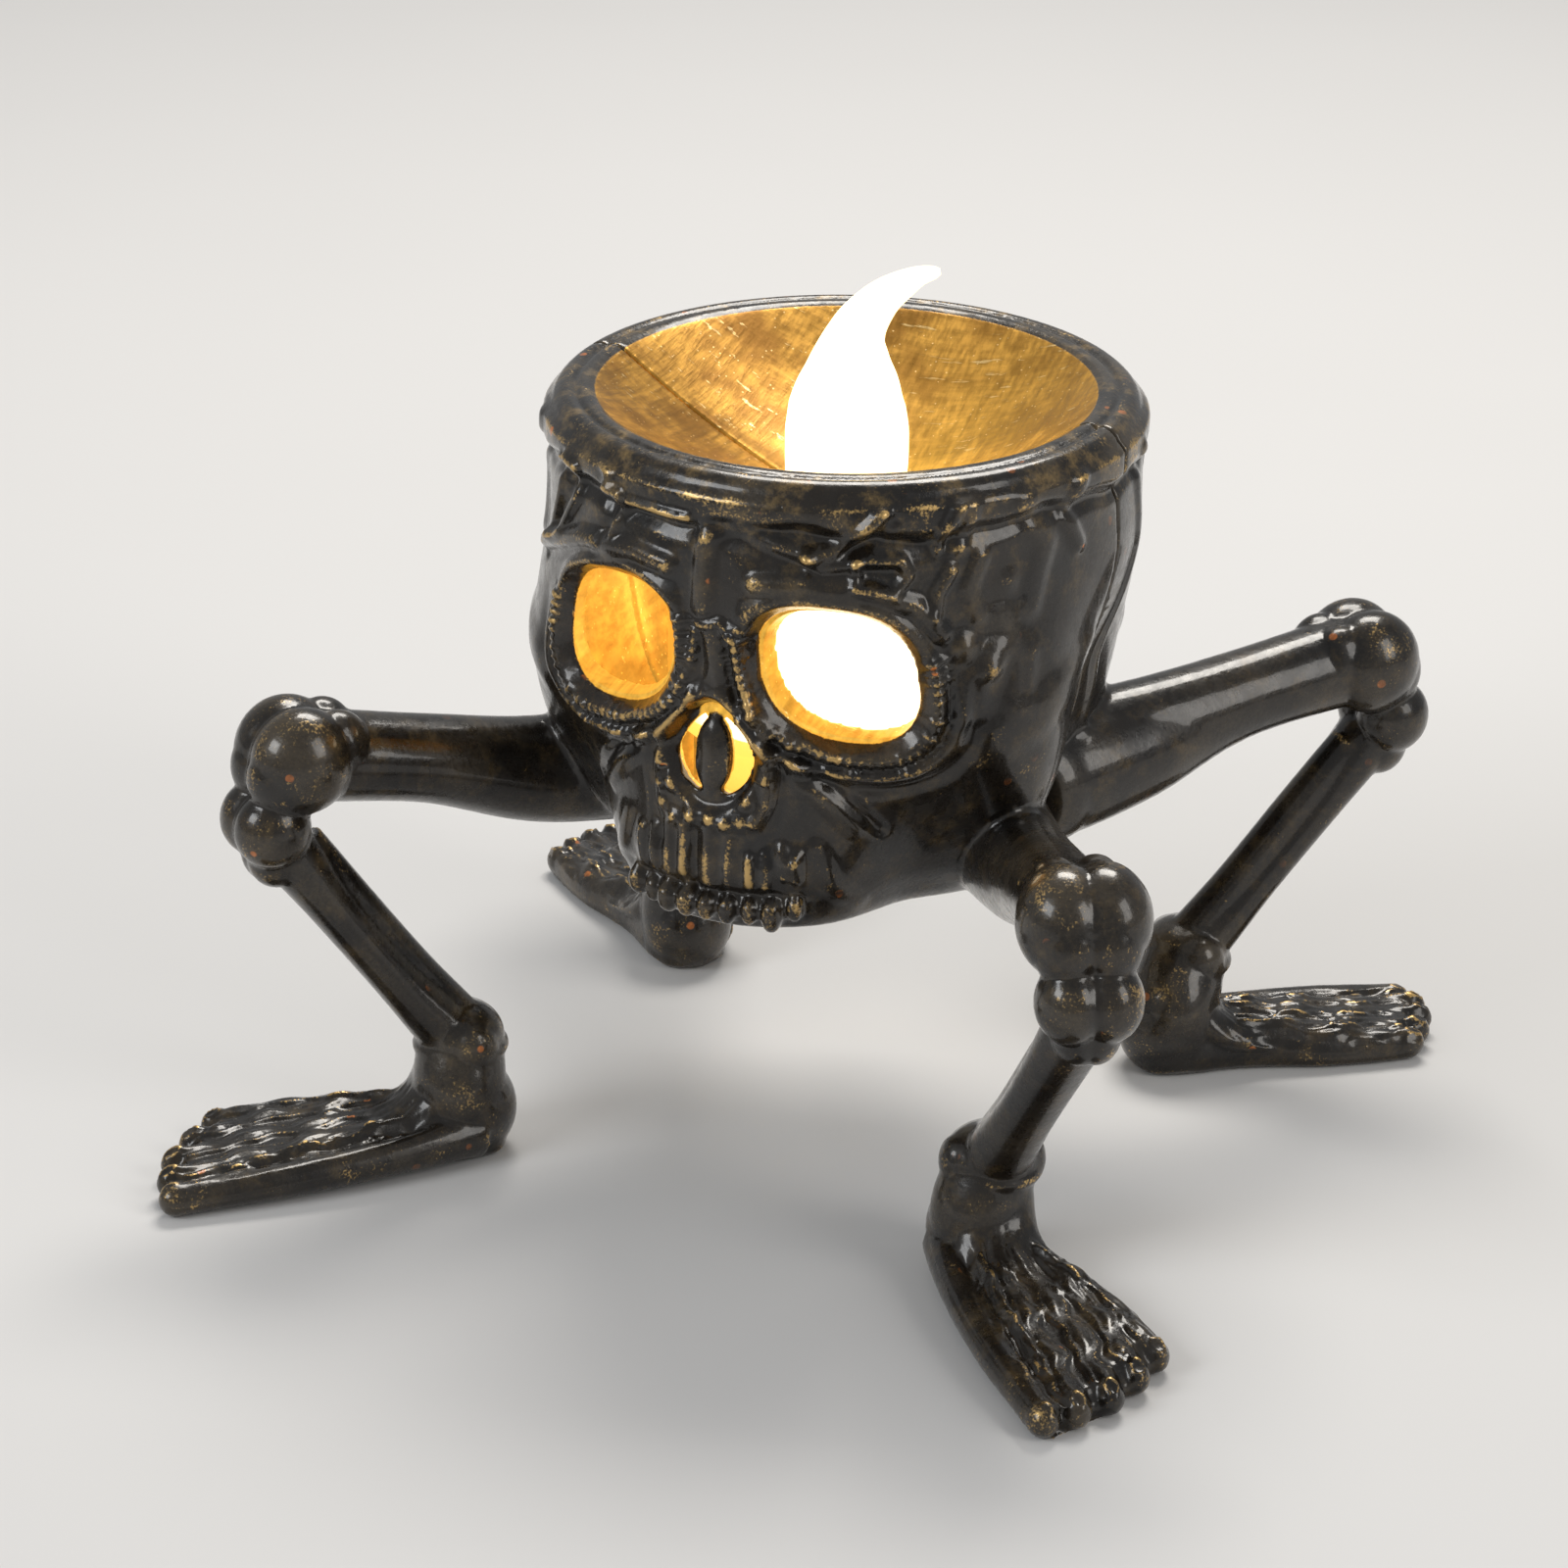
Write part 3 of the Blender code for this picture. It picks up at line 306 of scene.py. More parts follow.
def startGroup(name, inputs, outputs):
    tree = bpy.data.node_groups.new(name, "ShaderNodeTree")
    for label, kind, value in inputs:
        socket = tree.interface.new_socket(label, in_out="INPUT", socket_type=kind)
        if value is not None:
            socket.default_value = value
    for label in outputs:
        tree.interface.new_socket(label, in_out="OUTPUT", socket_type="NodeSocketFloat")
    return tree, tree.nodes.new("NodeGroupInput").outputs, tree.nodes.new("NodeGroupOutput").inputs


number, direction = "NodeSocketFloat", "NodeSocketVector"


# Paint rubbed through, or gold brushed on, wherever the surface stands proud
def makeWornEdges():
    inputs = (
        ("Place", direction, None),
        ("Raised", number, 0.0),
        ("Level", number, 0.5),
        ("Softness", number, 0.15),
        ("Grain scale", number, 3000.0),
        ("Grain amount", number, 0.3),
        ("Patch scale", number, 180.0),
        ("Patch amount", number, 0.3),
    )
    tree, given, result = startGroup("wornEdges", inputs, ("Mask",))
    grain = calc(tree, "SUBTRACT", grainOf(tree, given["Place"], given["Grain scale"]), 0.5)
    patch = calc(tree, "SUBTRACT", grainOf(tree, given["Place"], given["Patch scale"], 2.0), 0.5)
    level = calc(tree, "MULTIPLY_ADD", grain, given["Grain amount"], given["Raised"])
    level = calc(tree, "MULTIPLY_ADD", patch, given["Patch amount"], level)
    high = calc(tree, "ADD", given["Level"], given["Softness"])
    tree.links.new(ramp(tree, level, given["Level"], high), result["Mask"])
    return tree


# Long fine strokes, as a stiff brush or a cloth leaves them
def makeBrushStrokes():
    inputs = (("Place", direction, None), ("Scale", number, 1500.0), ("Depth of scratches", number, 0.5))
    tree, given, result = startGroup("brushStrokes", inputs, ("Height", "Scratches"))
    lengthwise = stretched(tree, given["Place"], (1.0, 0.12, 0.5), (0.3, 0.0, 0.6))
    crosswise = stretched(tree, given["Place"], (0.10, 1.0, 0.6), (0.2, 0.4, -0.35))
    first = grainOf(tree, lengthwise, given["Scale"], 4.0, 0.6)
    second = grainOf(tree, crosswise, given["Scale"], 3.0, 0.6)
    tree.links.new(calc(tree, "ADD", first, calc(tree, "MULTIPLY", second, 0.5)), result["Height"])
    thin = ramp(tree, second, 0.64, 0.72)
    tree.links.new(calc(tree, "MULTIPLY", thin, given["Depth of scratches"]), result["Scratches"])
    return tree


# Small separate specks, such as chips in paint, or painted glints
def makeSpecks():
    inputs = (
        ("Place", direction, None),
        ("Scale", number, 900.0),
        ("Share", number, 0.1),
        ("Size", number, 0.3),
    )
    tree, given, result = startGroup("specks", inputs, ("Mask",))
    cells = addNode(tree, "ShaderNodeTexVoronoi", {"Vector": given["Place"], "Scale": given["Scale"]})
    picked = resultOf(tree, "ShaderNodeSeparateColor", {0: cells.outputs["Color"]})
    chosen = calc(tree, "LESS_THAN", picked, given["Share"])
    edge = calc(tree, "MULTIPLY", given["Size"], 1.3)
    near = calc(tree, "SUBTRACT", 1.0, ramp(tree, cells.outputs["Distance"], given["Size"], edge))
    tree.links.new(calc(tree, "MULTIPLY", chosen, near), result["Mask"])
    return tree


wornEdges = makeWornEdges()
brushStrokes = makeBrushStrokes()
specks = makeSpecks()


def placeGroup(tree, group, values):
    return addNode(tree, "ShaderNodeGroup", values, node_tree=group).outputs


def startMaterial(name):
    made = bpy.data.materials.new(name)
    made.use_nodes = True
    tree = made.node_tree
    place = addNode(tree, "ShaderNodeTexCoord").outputs["Object"]
    return made, tree, tree.nodes["Principled BSDF"], place


def bumpFrom(tree, shader, height, strength, distance):
    normal = addNode(tree, "ShaderNodeBump", {"Height": height, "Strength": strength, "Distance": distance})
    tree.links.new(normal.outputs[0], shader.inputs["Normal"])


# Finishes
bronze = {
    "shadow": (0.0040, 0.0030, 0.0022),
    "dark": (0.0150, 0.0108, 0.0068),
    "film": (0.100, 0.078, 0.050),
    "gold": (0.56, 0.37, 0.14),
    "chip": (0.55, 0.16, 0.025),
    "insideGold": (0.62, 0.33, 0.065),
    "insideDeep": (0.26, 0.12, 0.024),
    "scratchAndPaintedGlint": (0.95, 0.70, 0.32),
    # glow: orange of the painted lamp light on the gold inside
    "glow": (1.0, 0.56, 0.07),
    "coat": 0.50,
    "rimGoldLow": 0.070,
    "rimGoldHigh": 0.080,
}
# How the pale film lies on broad forms, and how the gold lies on edges
filmSettings = {
    "Level": 0.50,
    "Softness": 0.45,
    "Grain scale": 2600.0,
    "Grain amount": 0.40,
    "Patch scale": 120.0,
    "Patch amount": 1.1,
}
goldSettings = {
    "Level": 0.632,
    "Softness": 0.13,
    "Grain scale": 3400.0,
    "Grain amount": 0.42,
    "Patch scale": 210.0,
    "Patch amount": 0.36,
}


def bronzePaint():
    made, tree, shader, place = startMaterial("bronzePaint")
    fine, broad = markOf(tree, "raisedFine"), markOf(tree, "raisedBroad")
    insideMark, glow = markOf(tree, "inside"), markOf(tree, "glow")
    clouds = grainOf(tree, place, 140.0, 3.0)
    dust = grainOf(tree, place, 4200.0, 2.0)
    outer = mixColour(tree, ramp(tree, clouds, 0.3, 0.7), bronze["shadow"], bronze["dark"])
    film = placeGroup(tree, wornEdges, {"Place": place, "Raised": broad, **filmSettings})["Mask"]
    outer = mixColour(tree, calc(tree, "MULTIPLY", film, 0.45), outer, bronze["film"])
    rubbed = placeGroup(tree, wornEdges, {"Place": place, "Raised": fine, **goldSettings})["Mask"]
    height = addNode(tree, "ShaderNodeSeparateXYZ", {0: place}).outputs["Z"]
    # Gold speckle that grows denser towards the rim
    nearRim = ramp(tree, height, bronze["rimGoldLow"], bronze["rimGoldHigh"])
    rimGold = ramp(tree, grainOf(tree, place, 330.0, 6.0, 0.72), 0.48, 0.80)
    rimGold = calc(tree, "MULTIPLY", rimGold, calc(tree, "MULTIPLY_ADD", nearRim, 0.36, 0.12))
    rubbed = calc(tree, "MAXIMUM", rubbed, rimGold)
    outer = mixColour(tree, rubbed, outer, bronze["gold"])
    chips = placeGroup(tree, specks, {"Place": place, "Scale": 560.0, "Share": 0.035, "Size": 0.24})["Mask"]
    chips = calc(tree, "MULTIPLY", chips, ramp(tree, fine, 0.52, 0.64))
    outer = mixColour(tree, chips, outer, bronze["chip"])
    strokes = placeGroup(tree, brushStrokes, {"Place": place, "Scale": 1500.0, "Depth of scratches": 0.8})
    stains = grainOf(tree, place, 170.0, 3.0)
    goldTone = mixColour(tree, ramp(tree, stains, 0.35, 0.62), bronze["insideDeep"], bronze["insideGold"])
    streaks = ramp(tree, strokes["Height"], 0.55, 0.95, 0.0, 0.5)
    goldTone = mixColour(tree, streaks, goldTone, bronze["insideDeep"])
    goldTone = mixColour(tree, strokes["Scratches"], goldTone, bronze["scratchAndPaintedGlint"])
    # Painted glints: small bright specks of the scratch colour on the gold inside; the scratches themselves
    # are real wear
    paintedGlints = placeGroup(tree, specks, {"Place": place, "Scale": 2300.0, "Share": 0.10, "Size": 0.20})["Mask"]
    goldTone = mixColour(tree, calc(tree, "MULTIPLY", paintedGlints, 0.8), goldTone, bronze["scratchAndPaintedGlint"])
    ragged = calc(tree, "MULTIPLY_ADD", calc(tree, "SUBTRACT", dust, 0.5), 0.35, insideMark)
    inside = ramp(tree, ragged, 0.35, 0.65)
    tree.links.new(mixColour(tree, inside, outer, goldTone), shader.inputs["Base Color"])
    roughOut = ramp(tree, grainOf(tree, place, 700.0), 0.3, 0.7, 0.20, 0.36)
    roughOut = mixValue(tree, rubbed, roughOut, 0.40)
    roughIn = ramp(tree, strokes["Height"], 0.4, 1.1, 0.46, 0.26)
    tree.links.new(mixValue(tree, inside, roughOut, roughIn), shader.inputs["Roughness"])
    metalOut = mixValue(tree, rubbed, 0.12, 0.90)
    metalOut = mixValue(tree, chips, metalOut, 0.0)
    tree.links.new(mixValue(tree, inside, metalOut, 0.85), shader.inputs["Metallic"])
    tree.links.new(mixValue(tree, inside, bronze["coat"], 0.0), shader.inputs["Coat Weight"])
    shader.inputs["Coat Roughness"].default_value = 0.09
    shader.inputs["Specular IOR Level"].default_value = 0.38
    # Painted lamp light: the gold inside glows orange by the glow mark, weaker along the brush streaks
    paintedLight = calc(tree, "MULTIPLY", inside, glow)
    paintedLight = calc(tree, "MULTIPLY", paintedLight, ramp(tree, strokes["Height"], 0.3, 1.2, 1.25, 0.50))
    tree.links.new(mixColour(tree, paintedLight, (0.0, 0.0, 0.0), bronze["glow"]), shader.inputs["Emission Color"])
    shader.inputs["Emission Strength"].default_value = 1.0
    orange = grainOf(tree, place, 1700.0, 4.0)
    relief = mixValue(tree, inside, orange, strokes["Height"])
    relief = calc(tree, "MULTIPLY_ADD", rubbed, 0.25, relief)
    bumpFrom(tree, shader, relief, 0.35, 0.00012)
    return made


flameLook = {
    "base": (1.0, 0.80, 0.45),
    "pale": (1.0, 0.88, 0.62),
    "low": (1.0, 0.86, 0.56),
    "high": (1.0, 0.74, 0.36),
    "strength": 2.6,
}


def flamePlastic():
    made, tree, shader, place = startMaterial("flamePlastic")
    height = addNode(tree, "ShaderNodeSeparateXYZ", {0: place}).outputs["Z"]
    cloud = grainOf(tree, place, 500.0, 2.0)
    up = calc(tree, "MULTIPLY_ADD", calc(tree, "SUBTRACT", cloud, 0.5), 0.004, height)
    tone = mixColour(tree, ramp(tree, up, 0.066, 0.094), flameLook["low"], flameLook["high"])
    tree.links.new(tone, shader.inputs["Emission Color"])
    tree.links.new(mixColour(tree, cloud, flameLook["base"], flameLook["pale"]), shader.inputs["Base Color"])
    shader.inputs["Emission Strength"].default_value = flameLook["strength"]
    rough = ramp(tree, grainOf(tree, place, 3000.0), 0.3, 0.7, 0.32, 0.48)
    tree.links.new(rough, shader.inputs["Roughness"])
    bumpFrom(tree, shader, grainOf(tree, place, 2500.0), 0.15, 0.00005)
    return made


cupLook = {
    "base": (0.90, 0.84, 0.72),
    "pale": (0.96, 0.93, 0.86),
    "low": (1.0, 0.80, 0.46),
    "high": (1.0, 0.88, 0.62),
    "paintedShadeBase": (0.60, 0.38, 0.12),
    "paintedShadeGlow": (0.22, 0.10, 0.012),
    "paintedLightDirection": (0.900, 0.435, 0.0),
    "strength": 2.5,
}


def cupPlastic():
    made, tree, shader, place = startMaterial("cupPlastic")
    height = addNode(tree, "ShaderNodeSeparateXYZ", {0: place}).outputs["Z"]
    cloud = grainOf(tree, place, 260.0, 3.0)
    up = calc(tree, "MULTIPLY_ADD", calc(tree, "SUBTRACT", cloud, 0.5), 0.003, height)
    tone = mixColour(tree, ramp(tree, up, 0.047, 0.062), cupLook["low"], cupLook["high"])
    # Painted shade: the side away from the lamp's chip gets a darker base colour and a weaker glow
    sockets = {0: place, 1: cupLook["paintedLightDirection"]}
    aside = addNode(tree, "ShaderNodeVectorMath", sockets, operation="DOT_PRODUCT").outputs["Value"]
    facing = ramp(tree, aside, -0.0150, -0.0105)
    tone = mixColour(tree, facing, cupLook["paintedShadeGlow"], tone)
    tree.links.new(tone, shader.inputs["Emission Color"])
    shader.inputs["Emission Strength"].default_value = cupLook["strength"]
    pale = mixColour(tree, cloud, cupLook["base"], cupLook["pale"])
    # painted shade in the base colour on the side away from the chip
    tree.links.new(mixColour(tree, facing, cupLook["paintedShadeBase"], pale), shader.inputs["Base Color"])
    tree.links.new(ramp(tree, cloud, 0.3, 0.7, 0.38, 0.52), shader.inputs["Roughness"])
    bumpFrom(tree, shader, grainOf(tree, place, 4000.0), 0.12, 0.00004)
    return made


def mouldedPlastic(name, colour, rough, lift, grain=5200.0):
    made, tree, shader, place = startMaterial(name)
    cloud = grainOf(tree, place, 320.0, 3.0)
    pale = tuple(min(1.0, channel * lift) for channel in colour)
    tone = mixColour(tree, ramp(tree, cloud, 0.35, 0.75), colour, pale)
    dust = placeGroup(tree, specks, {"Place": place, "Scale": 1500.0, "Share": 0.05, "Size": 0.16})["Mask"]
    tone = mixColour(tree, calc(tree, "MULTIPLY", dust, 0.25), tone, (0.30, 0.28, 0.25))
    tree.links.new(tone, shader.inputs["Base Color"])
    fine = grainOf(tree, place, grain, 2.0)
    tree.links.new(ramp(tree, fine, 0.3, 0.7, rough - 0.08, rough + 0.10), shader.inputs["Roughness"])
    bumpFrom(tree, shader, fine, 0.30, 0.00006)
    return made


caseLook = {
    "base": (0.80, 0.74, 0.62),
    "glow": (1.0, 0.58, 0.10),
    "dark": 0.035,
    "paintedLight": 0.044,
    "strength": 1.1,
}


# Cream plastic with painted lamp light: an orange glow, strongest towards its top
def caseWithPaintedLampLight():
    made = mouldedPlastic("casePlastic", caseLook["base"], 0.44, 1.08)
    tree = made.node_tree
    shader = tree.nodes["Principled BSDF"]
    place = addNode(tree, "ShaderNodeTexCoord").outputs["Object"]
    height = addNode(tree, "ShaderNodeSeparateXYZ", {0: place}).outputs["Z"]
    # painted lamp light rising from no glow at the dark height to full at the upper height
    paintedLight = ramp(tree, height, caseLook["dark"], caseLook["paintedLight"])
    tree.links.new(mixColour(tree, paintedLight, (0.0, 0.0, 0.0), caseLook["glow"]), shader.inputs["Emission Color"])
    shader.inputs["Emission Strength"].default_value = caseLook["strength"]
    return made


def brushedMetal(name, colour, rough):
    made, tree, shader, place = startMaterial(name)
    strokes = placeGroup(tree, brushStrokes, {"Place": place, "Scale": 3200.0, "Depth of scratches": 0.5})
    dull = tuple(0.6 * channel for channel in colour)
    tone = mixColour(tree, ramp(tree, strokes["Height"], 0.4, 1.1), dull, colour)
    tone = mixColour(tree, strokes["Scratches"], tone, (0.9, 0.9, 0.88))
    tree.links.new(tone, shader.inputs["Base Color"])
    tree.links.new(ramp(tree, strokes["Height"], 0.4, 1.1, rough + 0.12, rough), shader.inputs["Roughness"])
    shader.inputs["Metallic"].default_value = 1.0
    bumpFrom(tree, shader, strokes["Height"], 0.12, 0.00004)
    return made


def clearResin():
    made, tree, shader, place = startMaterial("clearResin")
    cloud = grainOf(tree, place, 700.0, 2.0)
    tone = mixColour(tree, cloud, (0.95, 0.70, 0.30), (1.0, 0.88, 0.60))
    tree.links.new(tone, shader.inputs["Base Color"])
    glow = mixColour(tree, cloud, (1.0, 0.60, 0.20), (1.0, 0.75, 0.35))
    tree.links.new(glow, shader.inputs["Emission Color"])
    shader.inputs["Emission Strength"].default_value = 3.0
    tree.links.new(ramp(tree, cloud, 0.3, 0.7, 0.08, 0.2), shader.inputs["Roughness"])
    return made


def floorPaper():
    made, tree, shader, place = startMaterial("floorPaper")
    cloud = grainOf(tree, place, 9.0, 2.0)
    pale = tuple(min(1.0, channel * 1.04) for channel in studio["floorColour"])
    tree.links.new(mixColour(tree, cloud, studio["floorColour"], pale), shader.inputs["Base Color"])
    shader.inputs["Roughness"].default_value = 0.7
    return made


addCamera()
addStudio()
print("camera and studio ready")

# The skull's form
skull = {
    "rimRadius": 0.0305,
    "rimTop": 0.0813,
    "rimRound": 0.0020,
    "bottom": 0.0325,
    "bottomRound": 0.0018,
    "shell": 0.0022,
    "floor": 0.0020,
    "halfGap": 0.0003,
    "crownDepth": 0.0050,
    "ribAngles": {"front": 55.0, "rear": 125.0},
    "ribThickness": 0.0016,
    "ribTop": 0.0457,
    "wellRadius": 0.0140,
    "wellOffset": 0.0040,
    "wellBottom": 0.0295,
    "wellTop": 0.0355,
}
dish = {
    "holeRadius": 0.0070,
    "holeHeight": 0.0700,
    "rimRadius": 0.0257,
    "sag": 0.0006,
    "thickness": 0.0020,
    "collarRadius": 0.0088,
    "collarBottom": 0.0643,
}
eye = {
    "angle": math.radians(24.0),
    "height": 0.0611,
    "halfWidth": 0.0080,
    "halfHeight": 0.0073,
    "slope": math.radians(-7.0),
    "skew": 0.22,
    "squareness": 2.5,
    "collar": ((0.0009, 1.16), (0.0036, 1.10)),  # how far back, share of the outline
    "opening": ((-0.0120, 1.10), (-0.0010, 1.02), (0.0036, 0.89), (0.0120, 0.86)),
}
nose = {
    "height": 0.0515,
    "halfWidth": 0.0040,
    "halfHeight": 0.0043,
    "septumWidth": 0.0017,
    "septumHeight": 0.0038,
}
teeth = {
    "count": 9,
    "height": 0.0352,
    "halfWidth": 0.00098,
    "halfHeight": 0.0017,
    "depth": 0.0017,
    "span": math.radians(33.0),
}
detail = {
    "blockVoxel": 0.00045,
    "skinVoxel": 0.0003,
    "mostTriangles": 190000,
    "fineReach": 0.0009,
    "broadReach": 0.0028,
    "fineRange": 0.0006,
    "broadRange": 0.0024,
}

# How far the skull stands out from its rim's radius, for shares of its height, from face to back
outlineAngles = np.radians((0, 20, 40, 64, 90, 116, 148, 180))
outlineRows = {
    0.00: (0.0006, -0.0014, -0.0066, -0.0070, -0.0137, -0.0118, -0.0098, -0.0088),
    0.11: (0.0014, 0.0000, -0.0042, -0.0034, -0.0107, -0.0080, -0.0060, -0.0050),
    0.24: (0.0013, -0.0002, -0.0020, 0.0001, -0.0063, -0.0040, -0.0030, -0.0022),
    0.36: (0.0012, -0.0002, 0.0002, 0.0016, -0.0042, -0.0024, -0.0013, -0.0007),
    0.48: (0.0008, 0.0000, 0.0010, 0.0018, -0.0031, -0.0013, -0.0002, 0.0003),
    0.60: (0.0006, 0.0004, 0.0009, 0.0011, -0.0012, -0.0003, 0.0003, 0.0006),
    0.73: (0.0012, 0.0010, 0.0007, 0.0001, 0.0001, 0.0002, 0.0004, 0.0005),
    0.85: (0.0006, 0.0005, 0.0003, 0.0000, -0.0001, 0.0002, 0.0002, 0.0002),
    1.00: (0.0, 0.0, 0.0, 0.0, 0.0, 0.0, 0.0, 0.0),
}

# Carved lines: points as degrees from the middle of the face and millimetres of height, then how far the
# line stands out and how wide it is, in millimetres
carvedLines = (
    (((-38.3, 78.0), (-34.5, 77.6), (-34.9, 74.4), (-40.8, 70.1), (-46.2, 68.3)), 0.85, 0.55),
    (((-41.6, 77.2), (-43.7, 73.4), (-47.3, 68.8)), 0.60, 0.50),
    (((-38.6, 77.0), (-39.4, 73.6), (-43.6, 69.6)), -0.50, 0.60),
    (((-27.1, 80.2), (-24.1, 79.0), (-23.6, 78.0)), 0.45, 0.55),
    (((-24.1, 77.1), (-20.4, 77.1), (-20.4, 75.4), (-22.6, 72.8)), 0.75, 0.50),
    (((-24.6, 76.0), (-24.2, 73.6), (-25.6, 71.8)), -0.45, 0.60),
    (((-17.8, 76.6), (-4.5, 76.6)), 0.70, 0.42),
    (((-17.4, 75.7), (-4.6, 75.6)), -0.30, 0.50),
    (((-1.1, 75.6), (-1.0, 67.8)), 0.80, 0.85),
    (((-1.1, 75.2), (5.4, 76.2), (12.9, 75.0), (18.3, 74.1)), 0.50, 0.60),
    (((4.0, 75.0), (12.0, 74.0), (17.0, 73.3)), -0.35, 0.70),
    (((31.8, 78.8), (27.7, 76.5), (22.4, 74.6), (18.3, 74.3)), 0.90, 0.60),
    (((33.6, 78.0), (29.4, 75.6), (25.4, 74.4)), -0.40, 0.55),
    (((18.3, 74.1), (21.3, 73.1), (27.2, 73.7)), 0.60, 0.50),
    (((27.2, 73.7), (35.5, 73.6), (36.8, 72.2), (34.1, 70.4), (27.2, 71.3), (27.2, 73.7)), 0.65, 0.48),
    (((29.6, 72.6), (34.0, 72.4)), -0.35, 0.70),
    (((45.9, 79.0), (43.6, 76.6), (42.2, 74.8)), 0.80, 0.55),
    (((48.6, 80.0), (47.9, 77.0), (46.6, 74.8)), 0.55, 0.80),
    (((45.0, 72.2), (42.3, 69.9), (41.9, 67.8)), 0.70, 0.55),
    (((51.0, 73.0), (48.6, 70.0), (50.6, 67.2)), 0.45, 0.80),
    (((9.0, 71.0), (18.0, 71.4), (30.0, 70.6), (38.0, 68.9), (43.0, 65.8)), 0.85, 0.75),
    (((-54.0, 66.2), (-45.1, 67.9), (-32.5, 70.6), (-25.8, 71.2), (-16.0, 71.8), (-9.0, 71.4)), 0.90, 0.75),
    (((-52.0, 65.0), (-29.0, 69.5), (-16.6, 69.3), (-7.2, 66.6)), -0.35, 0.55),
    (((-1.7, 66.0), (2.3, 66.4), (5.5, 64.6), (6.5, 61.2), (8.8, 57.1)), 0.70, 0.42),
    (((-2.7, 64.9), (-4.1, 60.8), (-6.3, 58.4)), 0.55, 0.40),
    (((-4.3, 64.6), (-5.8, 61.0), (-8.6, 57.6)), -0.45, 0.60),
    (((0.6, 64.9), (1.2, 62.1), (0.4, 58.9)), 0.75, 0.90),
    (((3.6, 64.4), (4.2, 61.5), (5.6, 58.4)), -0.50, 0.45),
    (((-1.6, 64.4), (-1.6, 61.5), (-2.6, 58.6)), -0.40, 0.40),
    (((9.0, 64.5), (8.6, 60.6), (12.6, 57.0), (18.6, 54.4), (24.0, 52.7)), 0.45, 0.42),
    (((17.4, 52.8), (21.7, 49.9), (25.6, 48.2), (33.0, 44.0)), -0.55, 0.70),
    (((16.0, 50.9), (22.0, 47.8), (28.0, 44.6)), 0.45, 0.90),
    (((-17.4, 52.8), (-21.7, 49.9), (-25.6, 48.2), (-33.0, 44.0)), -0.55, 0.70),
    (((-16.0, 50.9), (-22.0, 47.8), (-28.0, 44.6)), 0.45, 0.90),
    (((6.2, 55.9), (10.2, 53.7), (11.9, 51.0), (11.2, 47.2), (9.2, 45.2)), 0.75, 0.55),
    (((-6.6, 55.6), (-10.6, 52.6), (-11.6, 49.6)), 0.45, 0.50),
    (((12.6, 53.8), (14.0, 48.9), (10.8, 41.4)), -0.40, 0.70),
    (((-13.2, 53.0), (-13.6, 48.4), (-10.8, 41.4)), -0.40, 0.70),
    (((-4.9, 43.8), (-4.9, 38.7)), 0.60, 0.42),
    (((-2.6, 43.2), (-2.6, 37.6)), -0.60, 0.45),
    (((0.4, 43.6), (0.4, 38.2)), 0.40, 0.50),
    (((4.4, 43.0), (4.4, 38.4)), 0.30, 0.45),
    (((8.3, 41.2), (8.3, 38.5)), 0.45, 0.40),
    (((10.9, 41.6), (11.2, 38.4)), 0.50, 0.40),
    (((14.2, 42.3), (15.0, 39.6)), 0.60, 0.55),
    (((17.2, 41.9), (17.2, 39.3)), 0.55, 0.50),
    (((-8.6, 43.4), (-8.4, 38.2)), 0.35, 0.45),
    (((-12.0, 42.4), (-11.6, 38.2)), 0.40, 0.45),
    (((-15.4, 41.8), (-14.8, 38.0)), 0.45, 0.50),
    (((20.6, 42.4), (23.4, 38.0), (29.0, 35.6)), 0.35, 0.90),
    (((-20.6, 42.4), (-23.4, 38.0), (-29.0, 35.6)), 0.35, 0.90),
    (((54.0, 63.0), (49.6, 60.4), (48.6, 57.0)), 0.60, 1.10),
    (((56.0, 66.6), (60.0, 62.0), (58.0, 57.6)), 0.40, 1.30),
    (((60.0, 78.0), (66.0, 73.0), (62.0, 67.0)), 0.45, 1.10),
    (((74.0, 79.0), (71.0, 75.4), (75.0, 71.6)), 0.60, 0.80),
    (((-60.0, 78.0), (-66.0, 71.6), (-62.0, 66.6)), 0.50, 1.10),
    (((50.0, 53.0), (68.0, 56.6), (84.0, 58.4)), 0.55, 1.90),
    (((-50.0, 53.0), (-68.0, 56.6), (-84.0, 58.4)), 0.55, 1.90),
    (((101.0, 77.4), (104.0, 66.6), (98.0, 54.4), (103.0, 44.6)), 0.45, 0.80),
    (((-101.0, 77.4), (-104.0, 66.6), (-98.0, 54.4), (-103.0, 44.6)), 0.45, 0.80),
    (((118.0, 76.0), (124.0, 69.0), (140.0, 66.0), (152.0, 61.0)), 0.50, 0.60),
    (((-118.0, 76.0), (-126.0, 70.0), (-138.0, 66.6), (-150.0, 60.0)), 0.50, 0.60),
    (((180.0, 76.0), (176.0, 69.4), (183.0, 63.4), (178.0, 57.0), (181.0, 51.0)), -0.55, 0.55),
    (((130.0, 72.4), (150.0, 65.6), (166.0, 64.2), (180.0, 63.4)), -0.45, 0.55),
    (((-130.0, 72.4), (-150.0, 65.6), (-166.0, 64.2), (-180.0, 63.4)), -0.45, 0.55),
    (((152.0, 60.0), (160.0, 52.0), (156.0, 45.0)), 0.40, 1.20),
    (((-152.0, 60.0), (-160.0, 52.0), (-156.0, 45.0)), 0.40, 1.20),
    (((120.0, 55.0), (134.0, 50.0), (150.0, 44.6)), 0.35, 1.40),
    (((-120.0, 55.0), (-134.0, 50.0), (-150.0, 44.6)), 0.35, 1.40),
)

